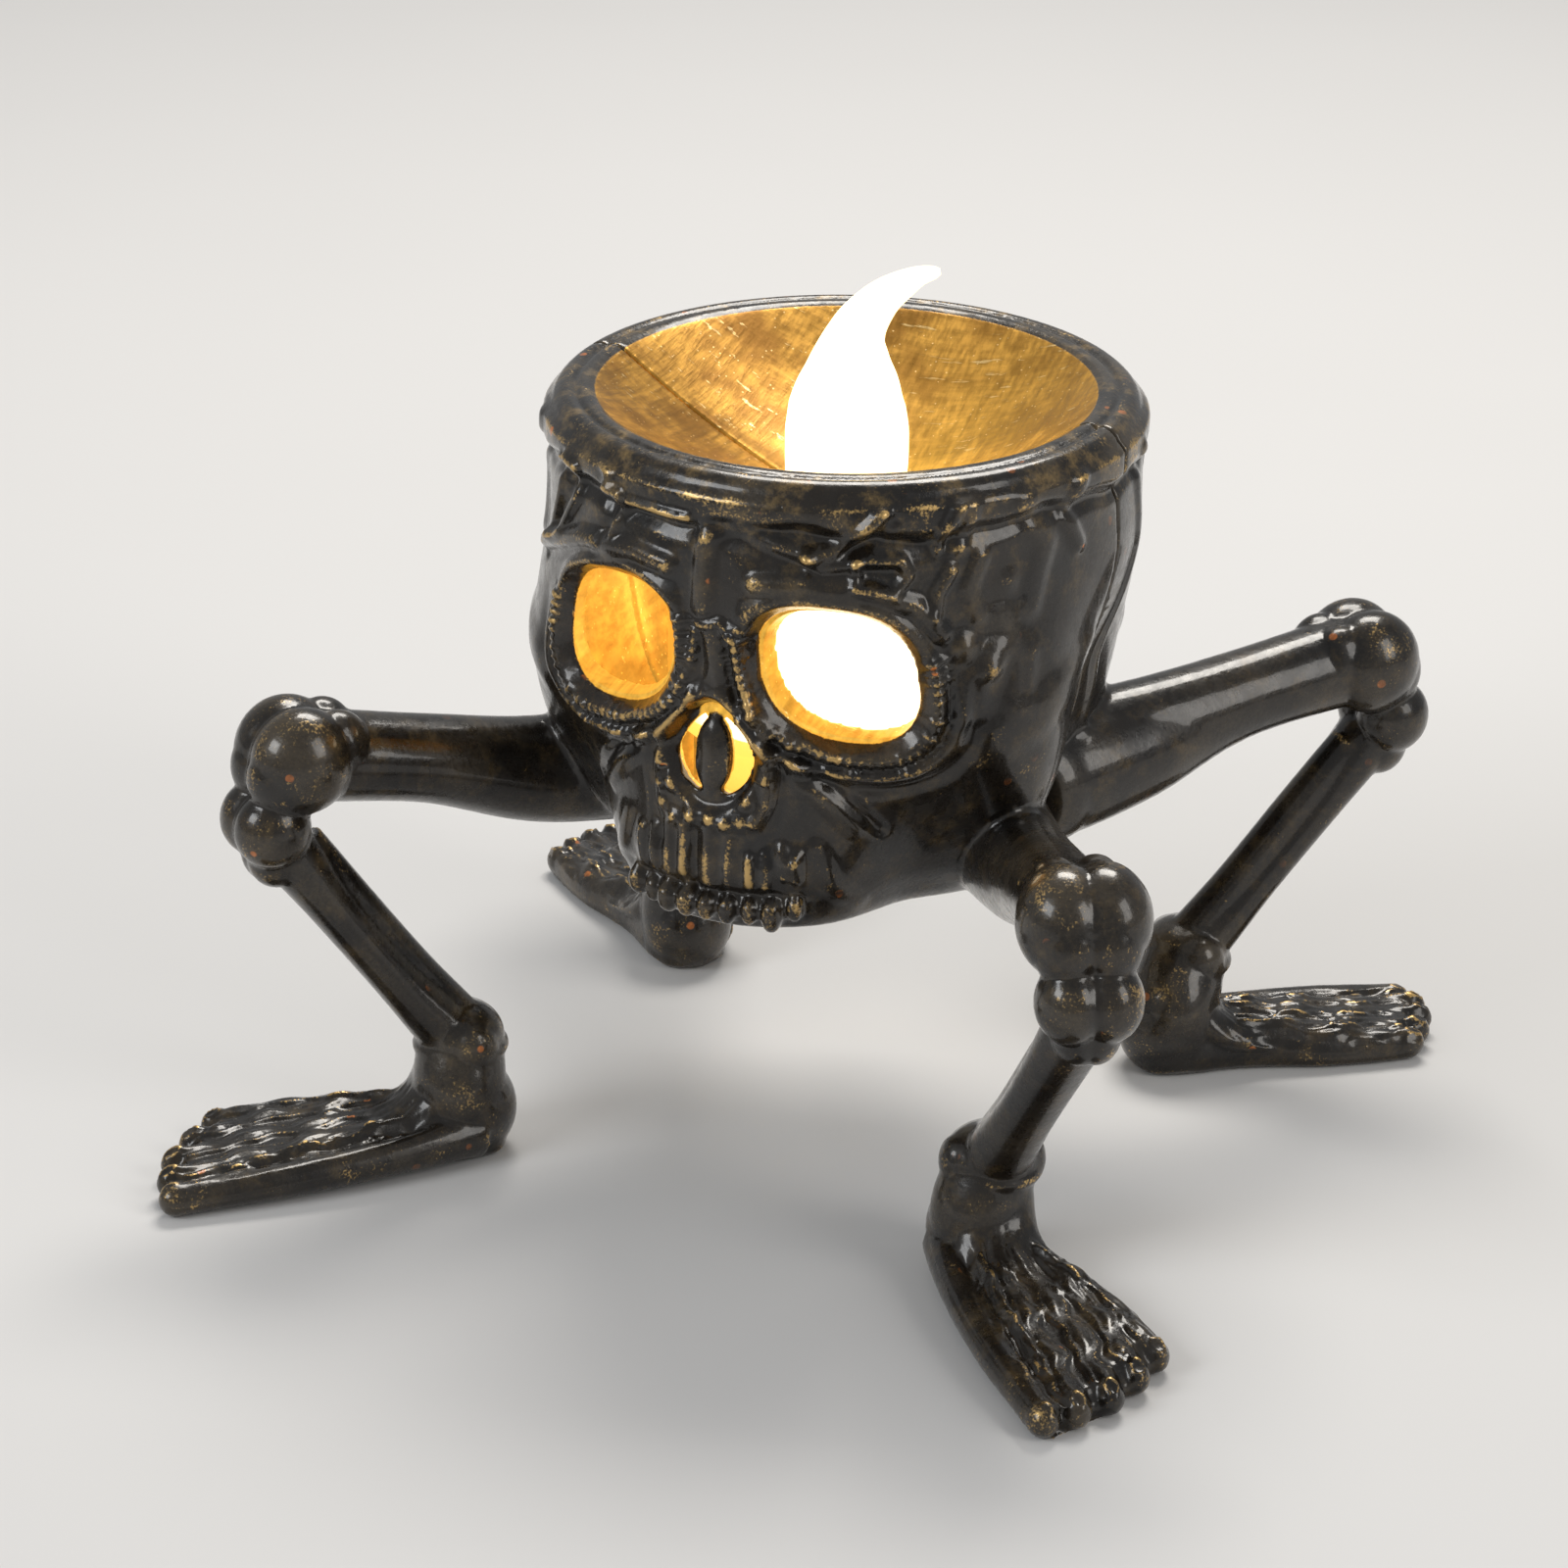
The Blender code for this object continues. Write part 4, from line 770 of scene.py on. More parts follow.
# Small round lumps: degrees, millimetres of height, rise and size in millimetres
carvedLumps = (
    (-7.4, 48.1, 0.9, 1.0),
    (-10.8, 47.6, 0.8, 0.9),
    (-10.2, 45.5, 0.7, 0.9),
    (-7.2, 44.3, 0.8, 0.8),
    (-3.4, 44.9, 0.9, 0.8),
    (0.6, 45.0, 0.8, 0.8),
    (3.6, 44.8, 0.9, 0.8),
    (6.8, 45.2, 0.7, 0.9),
    (7.6, 47.4, 0.6, 0.8),
    (10.4, 54.6, 0.6, 0.8),
    (8.0, 56.6, 0.5, 0.7),
    (16.2, 41.2, 0.7, 0.9),
    (-22.7, 50.0, 0.5, 1.1),
    (47.6, 64.0, 0.7, 1.3),
    (52.6, 61.4, 0.6, 1.2),
    (57.0, 70.0, 0.4, 1.4),
)


def outlineRadius(angle, height):
    folded = np.abs((np.asarray(angle) + math.pi) % (2.0 * math.pi) - math.pi)
    rows = np.stack([smoothBetween(folded, outlineAngles, row) for row in outlineRows.values()])
    share = (height - skull["bottom"]) / (skull["rimTop"] - skull["bottom"])
    xs = np.array(list(outlineRows))
    slopes = np.gradient(rows, xs, axis=0)
    slopes[0] = slopes[-1] = 0.0
    share = np.broadcast_to(np.asarray(share, float), folded.shape)
    i = np.clip(np.searchsorted(xs, share) - 1, 0, len(xs) - 2)
    pick = np.arange(folded.size).reshape(folded.shape) if folded.ndim else 0
    step = xs[i + 1] - xs[i]
    t = np.clip((share - xs[i]) / step, 0.0, 1.0)
    low, high = rows[i, pick], rows[i + 1, pick]
    start = (2 * t**3 - 3 * t**2 + 1) * low + (t**3 - 2 * t**2 + t) * step * slopes[i, pick]
    end = (3 * t**2 - 2 * t**3) * high + (t**3 - t**2) * step * slopes[i + 1, pick]
    return skull["rimRadius"] + start + end


# 1 on the eye's outline, less inside it
def eyeShare(angle, height, side):
    v = height - eye["height"]
    u = (angle * side - eye["angle"]) * skull["rimRadius"] + eye["skew"] * v
    across = u * math.cos(eye["slope"]) + v * math.sin(eye["slope"])
    up = v * math.cos(eye["slope"]) - u * math.sin(eye["slope"])
    power = eye["squareness"]
    wide, high = np.abs(across / eye["halfWidth"]), np.abs(up / eye["halfHeight"])
    return (wide**power + high**power) ** (1.0 / power)


def lineDistance(u, v, points):
    nearest = np.full(np.shape(u), np.inf)
    for (u0, v0), (u1, v1) in zip(points, points[1:]):
        du, dv = u1 - u0, v1 - v0
        t = np.clip(((u - u0) * du + (v - v0) * dv) / (du * du + dv * dv), 0.0, 1.0)
        nearest = np.minimum(nearest, np.hypot(u - u0 - t * du, v - v0 - t * dv))
    return nearest


# What the carving adds to the skull's radius
def carving(angle, height):
    u = angle * skull["rimRadius"]
    depth = np.zeros(np.shape(u))
    around = 2.0 * math.pi * skull["rimRadius"]
    mm = 0.001
    for points, rise, width in carvedLines:
        line = [(math.radians(a) * skull["rimRadius"], h * mm) for a, h in points]
        away = lineDistance(u, height, line)
        if max(abs(a) for a, _ in points) > 150:
            shifted = [(x - around if x > 0 else x + around, h) for x, h in line]
            away = np.minimum(away, lineDistance(u, height, shifted))
        depth += 0.9 * rise * mm * np.exp(-((away / (1.25 * width * mm)) ** 3))
    for a, h, rise, size in carvedLumps:
        away = np.hypot(u - math.radians(a) * skull["rimRadius"], height - h * mm)
        depth += rise * mm * bump(away, size * mm)
    for side in (-1, 1):
        fromEdge = (eyeShare(angle, height, side) - 1.0) * eye["halfHeight"]
        below = np.clip((eye["height"] + 0.002 - height) / eye["halfHeight"], 0.0, 1.0)
        depth -= 0.0009 * (1.0 - easeIn(fromEdge, -0.0002, 0.0009))
        depth += 0.0007 * bump(fromEdge - 0.0013, 0.0008)
        depth += 0.0006 * below * bump(fromEdge - 0.0034, 0.0007)
        depth -= 0.0005 * below * bump(fromEdge - 0.0025, 0.0004)
        depth -= 0.0005 * below * bump(fromEdge - 0.0047, 0.0009)
    noseU = u / (nose["halfWidth"] * 1.25)
    noseV = (height - nose["height"]) / (nose["halfHeight"] * 1.35)
    fromNose = (np.hypot(noseU, noseV) - 1.0) * nose["halfHeight"]
    depth += 0.0006 * bump(fromNose - 0.0007, 0.0007) * (height > nose["height"] - 0.002)
    depth -= 0.0009 * easeIn(-fromNose, -0.0002, 0.0006)
    depth += 0.0009 * bump(u / 0.0015, 1.0) * bump((height - nose["height"]) / 0.0036, 1.0)
    depth -= 0.0007 * bump(height - 0.0564, 0.0011) * bump(u, 0.0030)
    groove = 0.0369 + 0.03 * np.abs(u)
    depth -= 0.0007 * bump(height - groove, 0.0006) * bump(u, 0.0095)
    for index in range(teeth["count"]):
        root = teeth["span"] * (index / (teeth["count"] - 1) - 0.5) * skull["rimRadius"]
        depth += 0.0003 * bump(u - root, 0.0006) * bump(height - teeth["height"] - 0.0050, 0.0018)
        hollow = 0.00034 if index % 3 else 0.00015
        depth -= hollow * bump(u - root, 0.00042) * bump(height - teeth["height"], 0.0009)
    # The band under the rim stands proud, and its lower edge wanders
    band = 0.0768 + 0.0005 * np.sin(7.0 * angle) + 0.0002 * np.sin(23.0 * angle + 1.0)
    depth += 0.00070 * easeIn(height, band - 0.0009, band + 0.0008)
    depth -= 0.00060 * bump(height - band + 0.0012, 0.0009)
    fade = 1.0 - easeIn(height, skull["rimTop"] - 0.0024, skull["rimTop"] - 0.0012)
    return depth * fade


# Height of the dish's upper face, a cone that sags a little
def dishSurface(radius):
    share = (radius - dish["holeRadius"]) / (dish["rimRadius"] - dish["holeRadius"])
    rise = skull["rimTop"] - 0.0004 - dish["holeHeight"]
    return dish["holeHeight"] + rise * share - dish["sag"] * np.sin(math.pi * np.clip(share, 0.0, 1.0))


def skinRing(angles, height, readAt, inward):
    radius = outlineRadius(angles, readAt) - inward
    return [(r * math.sin(a), -r * math.cos(a), height) for a, r in zip(angles, radius)]


# One half of the skull as a solid block that reaches a little past the plane between the halves
def addHalfBlock(bm, facing):
    past = math.radians(96.0)
    angles = np.linspace(-past, past, 260) + (math.pi if facing == "rear" else 0.0)
    bottom, top = skull["bottom"], skull["rimTop"]
    rounding = skull["rimRound"]
    rings = [skinRing(angles, bottom, bottom, skull["bottomRound"])]
    rings.append(skinRing(angles, bottom + 0.3 * skull["bottomRound"], bottom, 0.3 * skull["bottomRound"]))
    for height in np.linspace(bottom + skull["bottomRound"], top - rounding, 90):
        rings.append(skinRing(angles, height, height, 0.0))
    for turn in (0.2, 0.5, 0.8, 1.1, 1.35, math.pi / 2):
        height = top - rounding * (1.0 - math.sin(turn))
        rings.append(skinRing(angles, height, top - rounding, rounding * (1.0 - math.cos(turn))))
    addLoft(bm, rings)


# Cutters for the shell
def plateTool(name, outline, low, high):
    bm = bmesh.new()
    addLoft(bm, [[(x, y, low) for x, y in outline], [(x, y, high) for x, y in outline]])
    return linkClosed(name, bm)


def boxOutline(x0, x1, y0, y1):
    return [(x0, y0), (x1, y0), (x1, y1), (x0, y1)]


def stadium(radius, offset, count=24):
    ends = []
    for sign in (1.0, -1.0):
        turns = [math.pi * i / count for i in range(count + 1)]
        ends += [(sign * radius * math.cos(t), sign * (offset + radius * math.sin(t))) for t in turns]
    return ends


# A mesh turned about the upright axis, from rings of (radius, height). closed joins the last ring to
# the first.
def turnedMesh(name, profile, count=96, closed=False):
    bm = bmesh.new()
    loops = []
    for radius, height in profile:
        if radius < 1e-7:
            loops.append([bm.verts.new((0.0, 0.0, height))] * count)
        else:
            turns = [2.0 * math.pi * i / count for i in range(count)]
            spots = [(radius * math.cos(t), radius * math.sin(t), height) for t in turns]
            loops.append([bm.verts.new(spot) for spot in spots])
    pairs = list(zip(loops, loops[1:])) + ([(loops[-1], loops[0])] if closed else [])
    for below, above in pairs:
        for i in range(count):
            j = (i + 1) % count
            corners = list(dict.fromkeys((below[i], below[j], above[j], above[i])))
            if len(corners) > 2:
                bm.faces.new(corners)
    return linkClosed(name, bm)


def chamberTool():
    angles = np.linspace(-math.pi, math.pi, 120, endpoint=False)
    crown = skull["rimTop"] - skull["crownDepth"]
    rings = []
    for height in np.linspace(skull["bottom"] + skull["floor"], crown - 0.0015, 20):
        rings.append(skinRing(angles, height, height, skull["shell"]))
    collar = dish["collarRadius"]
    for radius in (dish["rimRadius"], 0.5 * (dish["rimRadius"] + collar), collar):
        height = min(crown, float(dishSurface(radius)) - dish["thickness"])
        rings.append([(radius * math.sin(a), -radius * math.cos(a), height) for a in angles])
    rings.append([(collar * math.sin(a), -collar * math.cos(a), dish["collarBottom"]) for a in angles])
    bm = bmesh.new()
    addLoft(bm, rings)
    return linkClosed("chamberTool", bm)


def dishTool():
    hole, above = dish["holeRadius"], skull["rimTop"] + 0.004
    profile = [(0.0, dish["collarBottom"] - 0.001), (hole, dish["collarBottom"] - 0.001)]
    for radius in np.linspace(hole, dish["rimRadius"], 12):
        profile.append((float(radius), float(dishSurface(radius))))
    lip = dish["rimRadius"] + 0.0012
    profile += [(lip, skull["rimTop"] + 0.0002), (lip + 0.0001, above), (0.0, above)]
    return turnedMesh("dishTool", profile, 120)


# A solid for both eye sockets, drawn straight back from the face as the mould leaves them. steps pair
# how far back a ring lies with its size.
def eyeTool(name, steps):
    bm = bmesh.new()
    for side in (-1, 1):
        ring = []
        for turn in np.linspace(0.0, 2.0 * math.pi, 72, endpoint=False):
            angle, height = eyeRim(side, turn, 1.0, 0.0)
            radius = float(outlineRadius(np.array([angle]), height)[0])
            ring.append(Vector((radius * math.sin(angle), -radius * math.cos(angle), height)))
        middle = sum(ring, Vector()) / len(ring)
        rings = []
        for back, size in steps:
            shift = Vector((0.0, back, 0.0))
            rings.append([middle + (point - middle) * size + shift for point in ring])
        addLoft(bm, rings)
    return linkClosed(name, bm)


# Angle and height of a place on an eye's outline, grown by a share or by a length
def eyeRim(side, turn, share, beyond):
    c, s = math.cos(turn), math.sin(turn)
    power = 2.0 / eye["squareness"]
    u = (share * eye["halfWidth"] + beyond) * math.copysign(abs(c) ** power, c)
    v = (share * eye["halfHeight"] + beyond) * math.copysign(abs(s) ** power, s)
    rise = v * math.cos(eye["slope"]) + u * math.sin(eye["slope"])
    across = u * math.cos(eye["slope"]) - v * math.sin(eye["slope"]) - eye["skew"] * rise
    return side * (eye["angle"] + across / skull["rimRadius"]), eye["height"] + rise


def noseTool():
    bm = bmesh.new()
    turns = np.linspace(math.radians(80.0), math.radians(-72.0), 24)
    for side in (-1, 1):
        outer = [(nose["halfWidth"] * math.cos(t), nose["halfHeight"] * math.sin(t)) for t in turns]
        outer = [(x * (1.0 - 0.35 * max(z, 0.0) / nose["halfHeight"]), z) for x, z in outer]
        wide, high = nose["septumWidth"], nose["septumHeight"]
        inner = [(wide * math.cos(t), high * math.sin(t)) for t in turns[::-1]]
        outline = [(side * (x + 0.0003), nose["height"] + z) for x, z in outer + inner]
        addLoft(bm, [[(x, y, z) for x, z in outline] for y in (-0.022, -0.040)])
    return linkClosed("noseTool", bm)


def ribTool(facing):
    bm = bmesh.new()
    angle = math.radians(skull["ribAngles"][facing])
    ahead = skull["wellOffset"] * abs(math.cos(angle))
    inner = ahead + math.sqrt(skull["wellRadius"] ** 2 - (skull["wellOffset"] * math.sin(angle)) ** 2)
    for side in (-1, 1):
        out = Vector((side * math.sin(angle), -math.cos(angle), 0.0))
        across = Vector((-out.y, out.x, 0.0)) * (0.5 * skull["ribThickness"])
        heights = np.linspace(skull["bottom"] + 0.5 * skull["floor"], skull["ribTop"], 6)
        outline = [(inner, heights[0])]
        for height in heights:
            outline.append((float(outlineRadius(np.array([angle]), height)[0]) - 0.0011, height))
        outline.append((inner, skull["ribTop"]))
        rings = [[out * r + Vector((0.0, 0.0, z)) + across * s for r, z in outline] for s in (-1, 1)]
        addLoft(bm, rings)
    return linkClosed(facing + "RibTool", bm)


def cut(target, tool, operation="DIFFERENCE"):
    step = target.modifiers.new(tool.name, "BOOLEAN")
    step.operation = operation
    step.object = tool
    step.solver = "EXACT"


# Geometry nodes: the row of teeth and the pleats across the lower eye rims
def startTree(name, inputs):
    tree = bpy.data.node_groups.new(name, "GeometryNodeTree")
    tree.interface.new_socket("Geometry", in_out="INPUT", socket_type="NodeSocketGeometry")
    for label, kind, value in inputs:
        socket = tree.interface.new_socket(label, in_out="INPUT", socket_type=kind)
        if value is not None:
            socket.default_value = value
    tree.interface.new_socket("Geometry", in_out="OUTPUT", socket_type="NodeSocketGeometry")
    return tree, tree.nodes.new("NodeGroupInput").outputs, tree.nodes.new("NodeGroupOutput").inputs


# Runs a tree on an object and gives back the plain mesh object that it makes
def runTree(name, carrier, tree, values):
    step = carrier.modifiers.new("shape", "NODES")
    step.node_group = tree
    for socket in tree.interface.items_tree:
        if socket.in_out == "INPUT" and socket.name in values:
            step[socket.identifier] = values[socket.name]
    bpy.context.view_layer.update()
    shaped = carrier.evaluated_get(bpy.context.evaluated_depsgraph_get())
    mesh = bpy.data.meshes.new_from_object(shaped)
    made = bpy.data.objects.new(name, mesh)
    scene.collection.objects.link(made)
    dropObject(carrier)
    return made


def endTree(tree, result, geometry):
    whole = resultOf(tree, "GeometryNodeRealizeInstances", {0: geometry})
    coloured = resultOf(tree, "GeometryNodeSetMaterial", {"Geometry": whole})
    tree.links.new(coloured, result["Geometry"])


def randomValue(tree, low, high, seed):
    sockets = {2: low, 3: high, "Seed": seed}
    return addNode(tree, "FunctionNodeRandomValue", sockets, data_type="FLOAT").outputs[1]


# Sets a ball of the given half size, in uneven sizes, on each point and ends the tree
def scatterBalls(tree, given, result, points, turn, roundness, largest, seed):
    ball = resultOf(tree, "GeometryNodeMeshIcoSphere", {"Radius": 1.0, "Subdivisions": roundness})
    smallest = calc(tree, "SUBTRACT", 1.0, given["Uneven"])
    sockets = {0: given["Half size"], "Scale": randomValue(tree, smallest, largest, seed)}
    scale = resultOf(tree, "ShaderNodeVectorMath", sockets, operation="SCALE")
    scatter = {"Points": points, "Instance": ball, "Rotation": turn, "Scale": scale}
    endTree(tree, result, resultOf(tree, "GeometryNodeInstanceOnPoints", scatter))


# Oval teeth, evenly spaced on an arc that is flatter in the middle than at its ends
def toothRowTree():
    inputs = (
        ("Count", "NodeSocketInt", teeth["count"]),
        ("Span", number, teeth["span"]),
        ("Middle radius", number, 0.032),
        ("End radius", number, 0.030),
        ("Height", number, teeth["height"]),
        ("Half size", direction, (0.001, 0.0011, 0.0017)),
        ("Uneven", number, 0.22),
        ("Seed", "NodeSocketInt", 11),
    )
    tree, given, result = startTree("toothRow", inputs)
    line = resultOf(tree, "GeometryNodeMeshLine", {"Count": given["Count"]})
    index = resultOf(tree, "GeometryNodeInputIndex")
    steps = calc(tree, "SUBTRACT", given["Count"], 1.0)
    share = calc(tree, "SUBTRACT", calc(tree, "DIVIDE", index, steps), 0.5)
    angle = calc(tree, "MULTIPLY", share, given["Span"])
    bend = calc(tree, "POWER", calc(tree, "MULTIPLY", share, 2.0), 2.0)
    sockets = {0: bend, 2: given["Middle radius"], 3: given["End radius"]}
    radius = resultOf(tree, "ShaderNodeMix", sockets)
    x = calc(tree, "MULTIPLY", radius, calc(tree, "SINE", angle))
    y = calc(tree, "MULTIPLY", radius, calc(tree, "MULTIPLY", calc(tree, "COSINE", angle), -1.0))
    shift = randomValue(tree, -0.00035, 0.00035, given["Seed"])
    lift = calc(tree, "MULTIPLY_ADD", bend, 0.0006, shift)
    z = calc(tree, "ADD", given["Height"], lift)
    spot = resultOf(tree, "ShaderNodeCombineXYZ", {0: x, 1: y, 2: z})
    placed = resultOf(tree, "GeometryNodeSetPosition", {"Geometry": line, "Position": spot})
    turn = resultOf(tree, "ShaderNodeCombineXYZ", {2: angle})
    seed = calc(tree, "ADD", given["Seed"], 1.0)
    scatterBalls(tree, given, result, placed, turn, 4, 1.12, seed)
    return tree


# Pleats: short ridges set across a path, each standing out from the upright axis
def pleatTree():
    inputs = (
        ("Count", "NodeSocketInt", 38),
        ("Half size", direction, (0.00030, 0.0015, 0.00056)),
        ("Uneven", number, 0.35),
        ("Seed", "NodeSocketInt", 4),
    )
    tree, given, result = startTree("pleatsOnPath", inputs)
    curve = resultOf(tree, "GeometryNodeMeshToCurve", {0: given["Geometry"]})
    even = resultOf(tree, "GeometryNodeResampleCurve", {"Curve": curve, "Count": given["Count"]})
    along = resultOf(tree, "GeometryNodeInputTangent")
    aligned = resultOf(tree, "FunctionNodeAlignRotationToVector", {"Vector": along}, axis="X")
    place = resultOf(tree, "GeometryNodeInputPosition")
    flat = resultOf(tree, "ShaderNodeVectorMath", {0: place, 1: (1.0, 1.0, 0.0)}, operation="MULTIPLY")
    sockets = {"Rotation": aligned, "Vector": flat}
    aligned = resultOf(tree, "FunctionNodeAlignRotationToVector", sockets, axis="Z", pivot_axis="X")
    scatterBalls(tree, given, result, even, aligned, 3, 1.15, given["Seed"])
    return tree


def toothRow():
    middle = float(outlineRadius(np.array([0.0]), teeth["height"])[0]) + 0.0002
    end = float(outlineRadius(np.array([0.5 * teeth["span"]]), teeth["height"])[0]) + 0.0002
    carrier = linkMesh("toothCarrier", bmesh.new())
    size = (1.12 * teeth["halfWidth"], teeth["depth"], 1.15 * teeth["halfHeight"])
    values = {"Middle radius": middle, "End radius": end, "Half size": size}
    return runTree("toothRow", carrier, toothRowTree(), values)


# Pleats across the lower rim of one eye, on a path a little outside its outline
def eyePleats(side, tree):
    bm = bmesh.new()
    before = None
    for turn in np.linspace(math.radians(-200.0), math.radians(14.0), 60):
        angle, height = eyeRim(side, turn, 1.0, 0.0019)
        radius = float(outlineRadius(np.array([angle]), height)[0]) - 0.0001
        point = bm.verts.new((radius * math.sin(angle), -radius * math.cos(angle), height))
        if before:
            bm.edges.new((before, point))
        before = point
    return runTree("eyePleats", linkMesh("eyePath", bm), tree, {"Seed": 4 + side})


# Legs
legs = {
    "front": {
        "root": (0.0165, -0.0030, 0.0385),
        "hip": (0.0272, -0.0148, 0.0385),
        "knee": (0.0440, -0.0388, 0.0461),
        "ankle": (0.0308, -0.0287, 0.0107),
        "heel": (0.0284, -0.0284, 0.0),
        "tip": (0.0535, -0.0552, 0.0),
        "toes": ((1.02, -0.0046), (1.00, -0.0010), (0.96, 0.0030), (0.88, 0.0068), (0.79, 0.0102)),
    },
    "rear": {
        "hub": (0.0200, 0.0050, 0.0390),
        "hubSize": (0.0075, 0.0070, 0.0072),
        "root": (0.0160, 0.0030, 0.0395),
        "hip": (0.0270, 0.0150, 0.0415),
        "knee": (0.0440, 0.0383, 0.0452),
        "ankle": (0.0300, 0.0258, 0.0104),
        "heel": (0.0283, 0.0207, 0.0),
        "tip": (0.0538, 0.0430, 0.0),
        "toes": ((0.97, -0.0050), (1.00, -0.0024), (0.99, 0.0004), (0.95, 0.0032), (0.90, 0.0058)),
    },
    "femur": 0.0047,
    "tibia": 0.0026,
    "fibula": 0.0020,
    "shinSpacing": 0.0027,
    "toe": 0.0018,
    "condyles": 0.0020,  # half the space between the knee's two balls
    "kneeBalls": (  # outwards, up, half sizes
        (0.0, 0.0, (0.0055, 0.0047, 0.0057)),
        (0.0018, -0.0014, (0.0042, 0.0036, 0.0044)),
        (-0.0040, 0.0006, (0.0036, 0.0030, 0.0042)),
    ),
    "ankleBalls": (  # up, half sizes
        (0.0020, (0.0046, 0.0050, 0.0036)),
        (0.0008, (0.0051, 0.0053, 0.0020)),
    ),
}
upward = Vector((0.0, 0.0, 1.0))


def legFrame(leg, side):
    spots = {}
    for key in ("root", "hip", "knee", "ankle", "heel", "tip"):
        x, y, z = leg[key]
        spots[key] = Vector((x * side, y, z))
    outward = spots["knee"] - spots["hip"]
    outward.z = 0.0
    outward.normalize()
    return spots, outward, upward.cross(outward)


def addThigh(bm, leg, side):
    spots, _, across = legFrame(leg, side)
    r = legs["femur"]
    middle = spots["hip"].lerp(spots["knee"], 0.5) + upward * 0.0004
    flared = [(1.4 * r, 1.4 * r), (1.12 * r, 1.25 * r), (r, r), (1.04 * r, 1.05 * r)]
    addBone(bm, (spots["root"], spots["hip"], middle, spots["knee"]), flared, across)


def addLowerLeg(bm, leg, side):
    spots, outward, across = legFrame(leg, side)
    knee, ankle = spots["knee"], spots["ankle"]
    turn = math.atan2(outward.y, outward.x)
    for lobe in (-1, 1):
        centre = knee + across * lobe * legs["condyles"]
        for out, up, size in legs["kneeBalls"]:
            addBall(bm, centre + outward * out + upward * up, size, turn)
    head = knee + outward * 0.0034 - upward * 0.0078
    for lobe in (-1, 1):
        addBall(bm, head + across * lobe * 0.0018 + upward * 0.0008, (0.0041, 0.0036, 0.0042), turn)
        under = head + across * lobe * 0.0008 - upward * 0.0026 - outward * 0.0008
        addBall(bm, under, (0.0032, 0.0027, 0.0036), turn)
    top = head - outward * 0.0014 - upward * 0.0012
    foot = ankle + upward * 0.0016 + outward * 0.0006
    t = legs["tibia"]
    wide = [(1.35 * t, 1.25 * t), (1.25 * t, t), (1.2 * t, t), (1.4 * t, 1.25 * t)]
    bow = outward * 0.0006
    thirds = [top, top.lerp(foot, 0.33) + bow, top.lerp(foot, 0.67) + bow, foot]
    addBone(bm, thirds, wide, across)
    f = legs["fibula"]
    inner = [point - outward * legs["shinSpacing"] for point in thirds]
    inner[0] = inner[0] - upward * 0.0010
    inner[-1] = inner[-1] + outward * 0.3 * legs["shinSpacing"]
    addBone(bm, inner, [1.1 * f, (1.1 * f, f), (1.1 * f, f), 1.3 * f], across)
    for up, size in legs["ankleBalls"]:
        addBall(bm, ankle + upward * up, size, turn)
    for lobe in (-1, 1):
        addBall(bm, ankle + across * lobe * 0.0036 + upward * 0.0016, (0.0026, 0.0019, 0.0028), turn)


# Height of a foot's slab along its length, and the rounding of its side
foot = {
    "alongs": (-0.1, 0.1, 0.3, 0.5, 0.75, 1.0),
    "heights": (0.0050, 0.0064, 0.0058, 0.0046, 0.0037, 0.0029),
    "edge": (  # share of the height, inset
        (0.0, 0.0010),
        (0.12, 0.0002),
        (0.34, 0.0),
        (0.55, 0.0002),
        (0.74, 0.0006),
        (0.89, 0.0013),
        (1.0, 0.0025),
    ),
}


# Places on a foot: a share along its length, a distance towards the little toe, and a height
def footFrame(leg, side):
    spots = legFrame(leg, side)[0]
    run = spots["tip"] - spots["heel"]
    ahead = run.normalized()
    beside = upward.cross(ahead)
    if beside.y * spots["heel"].y > 0.0:
        beside = -beside
    return spots["heel"], run.length, ahead, beside


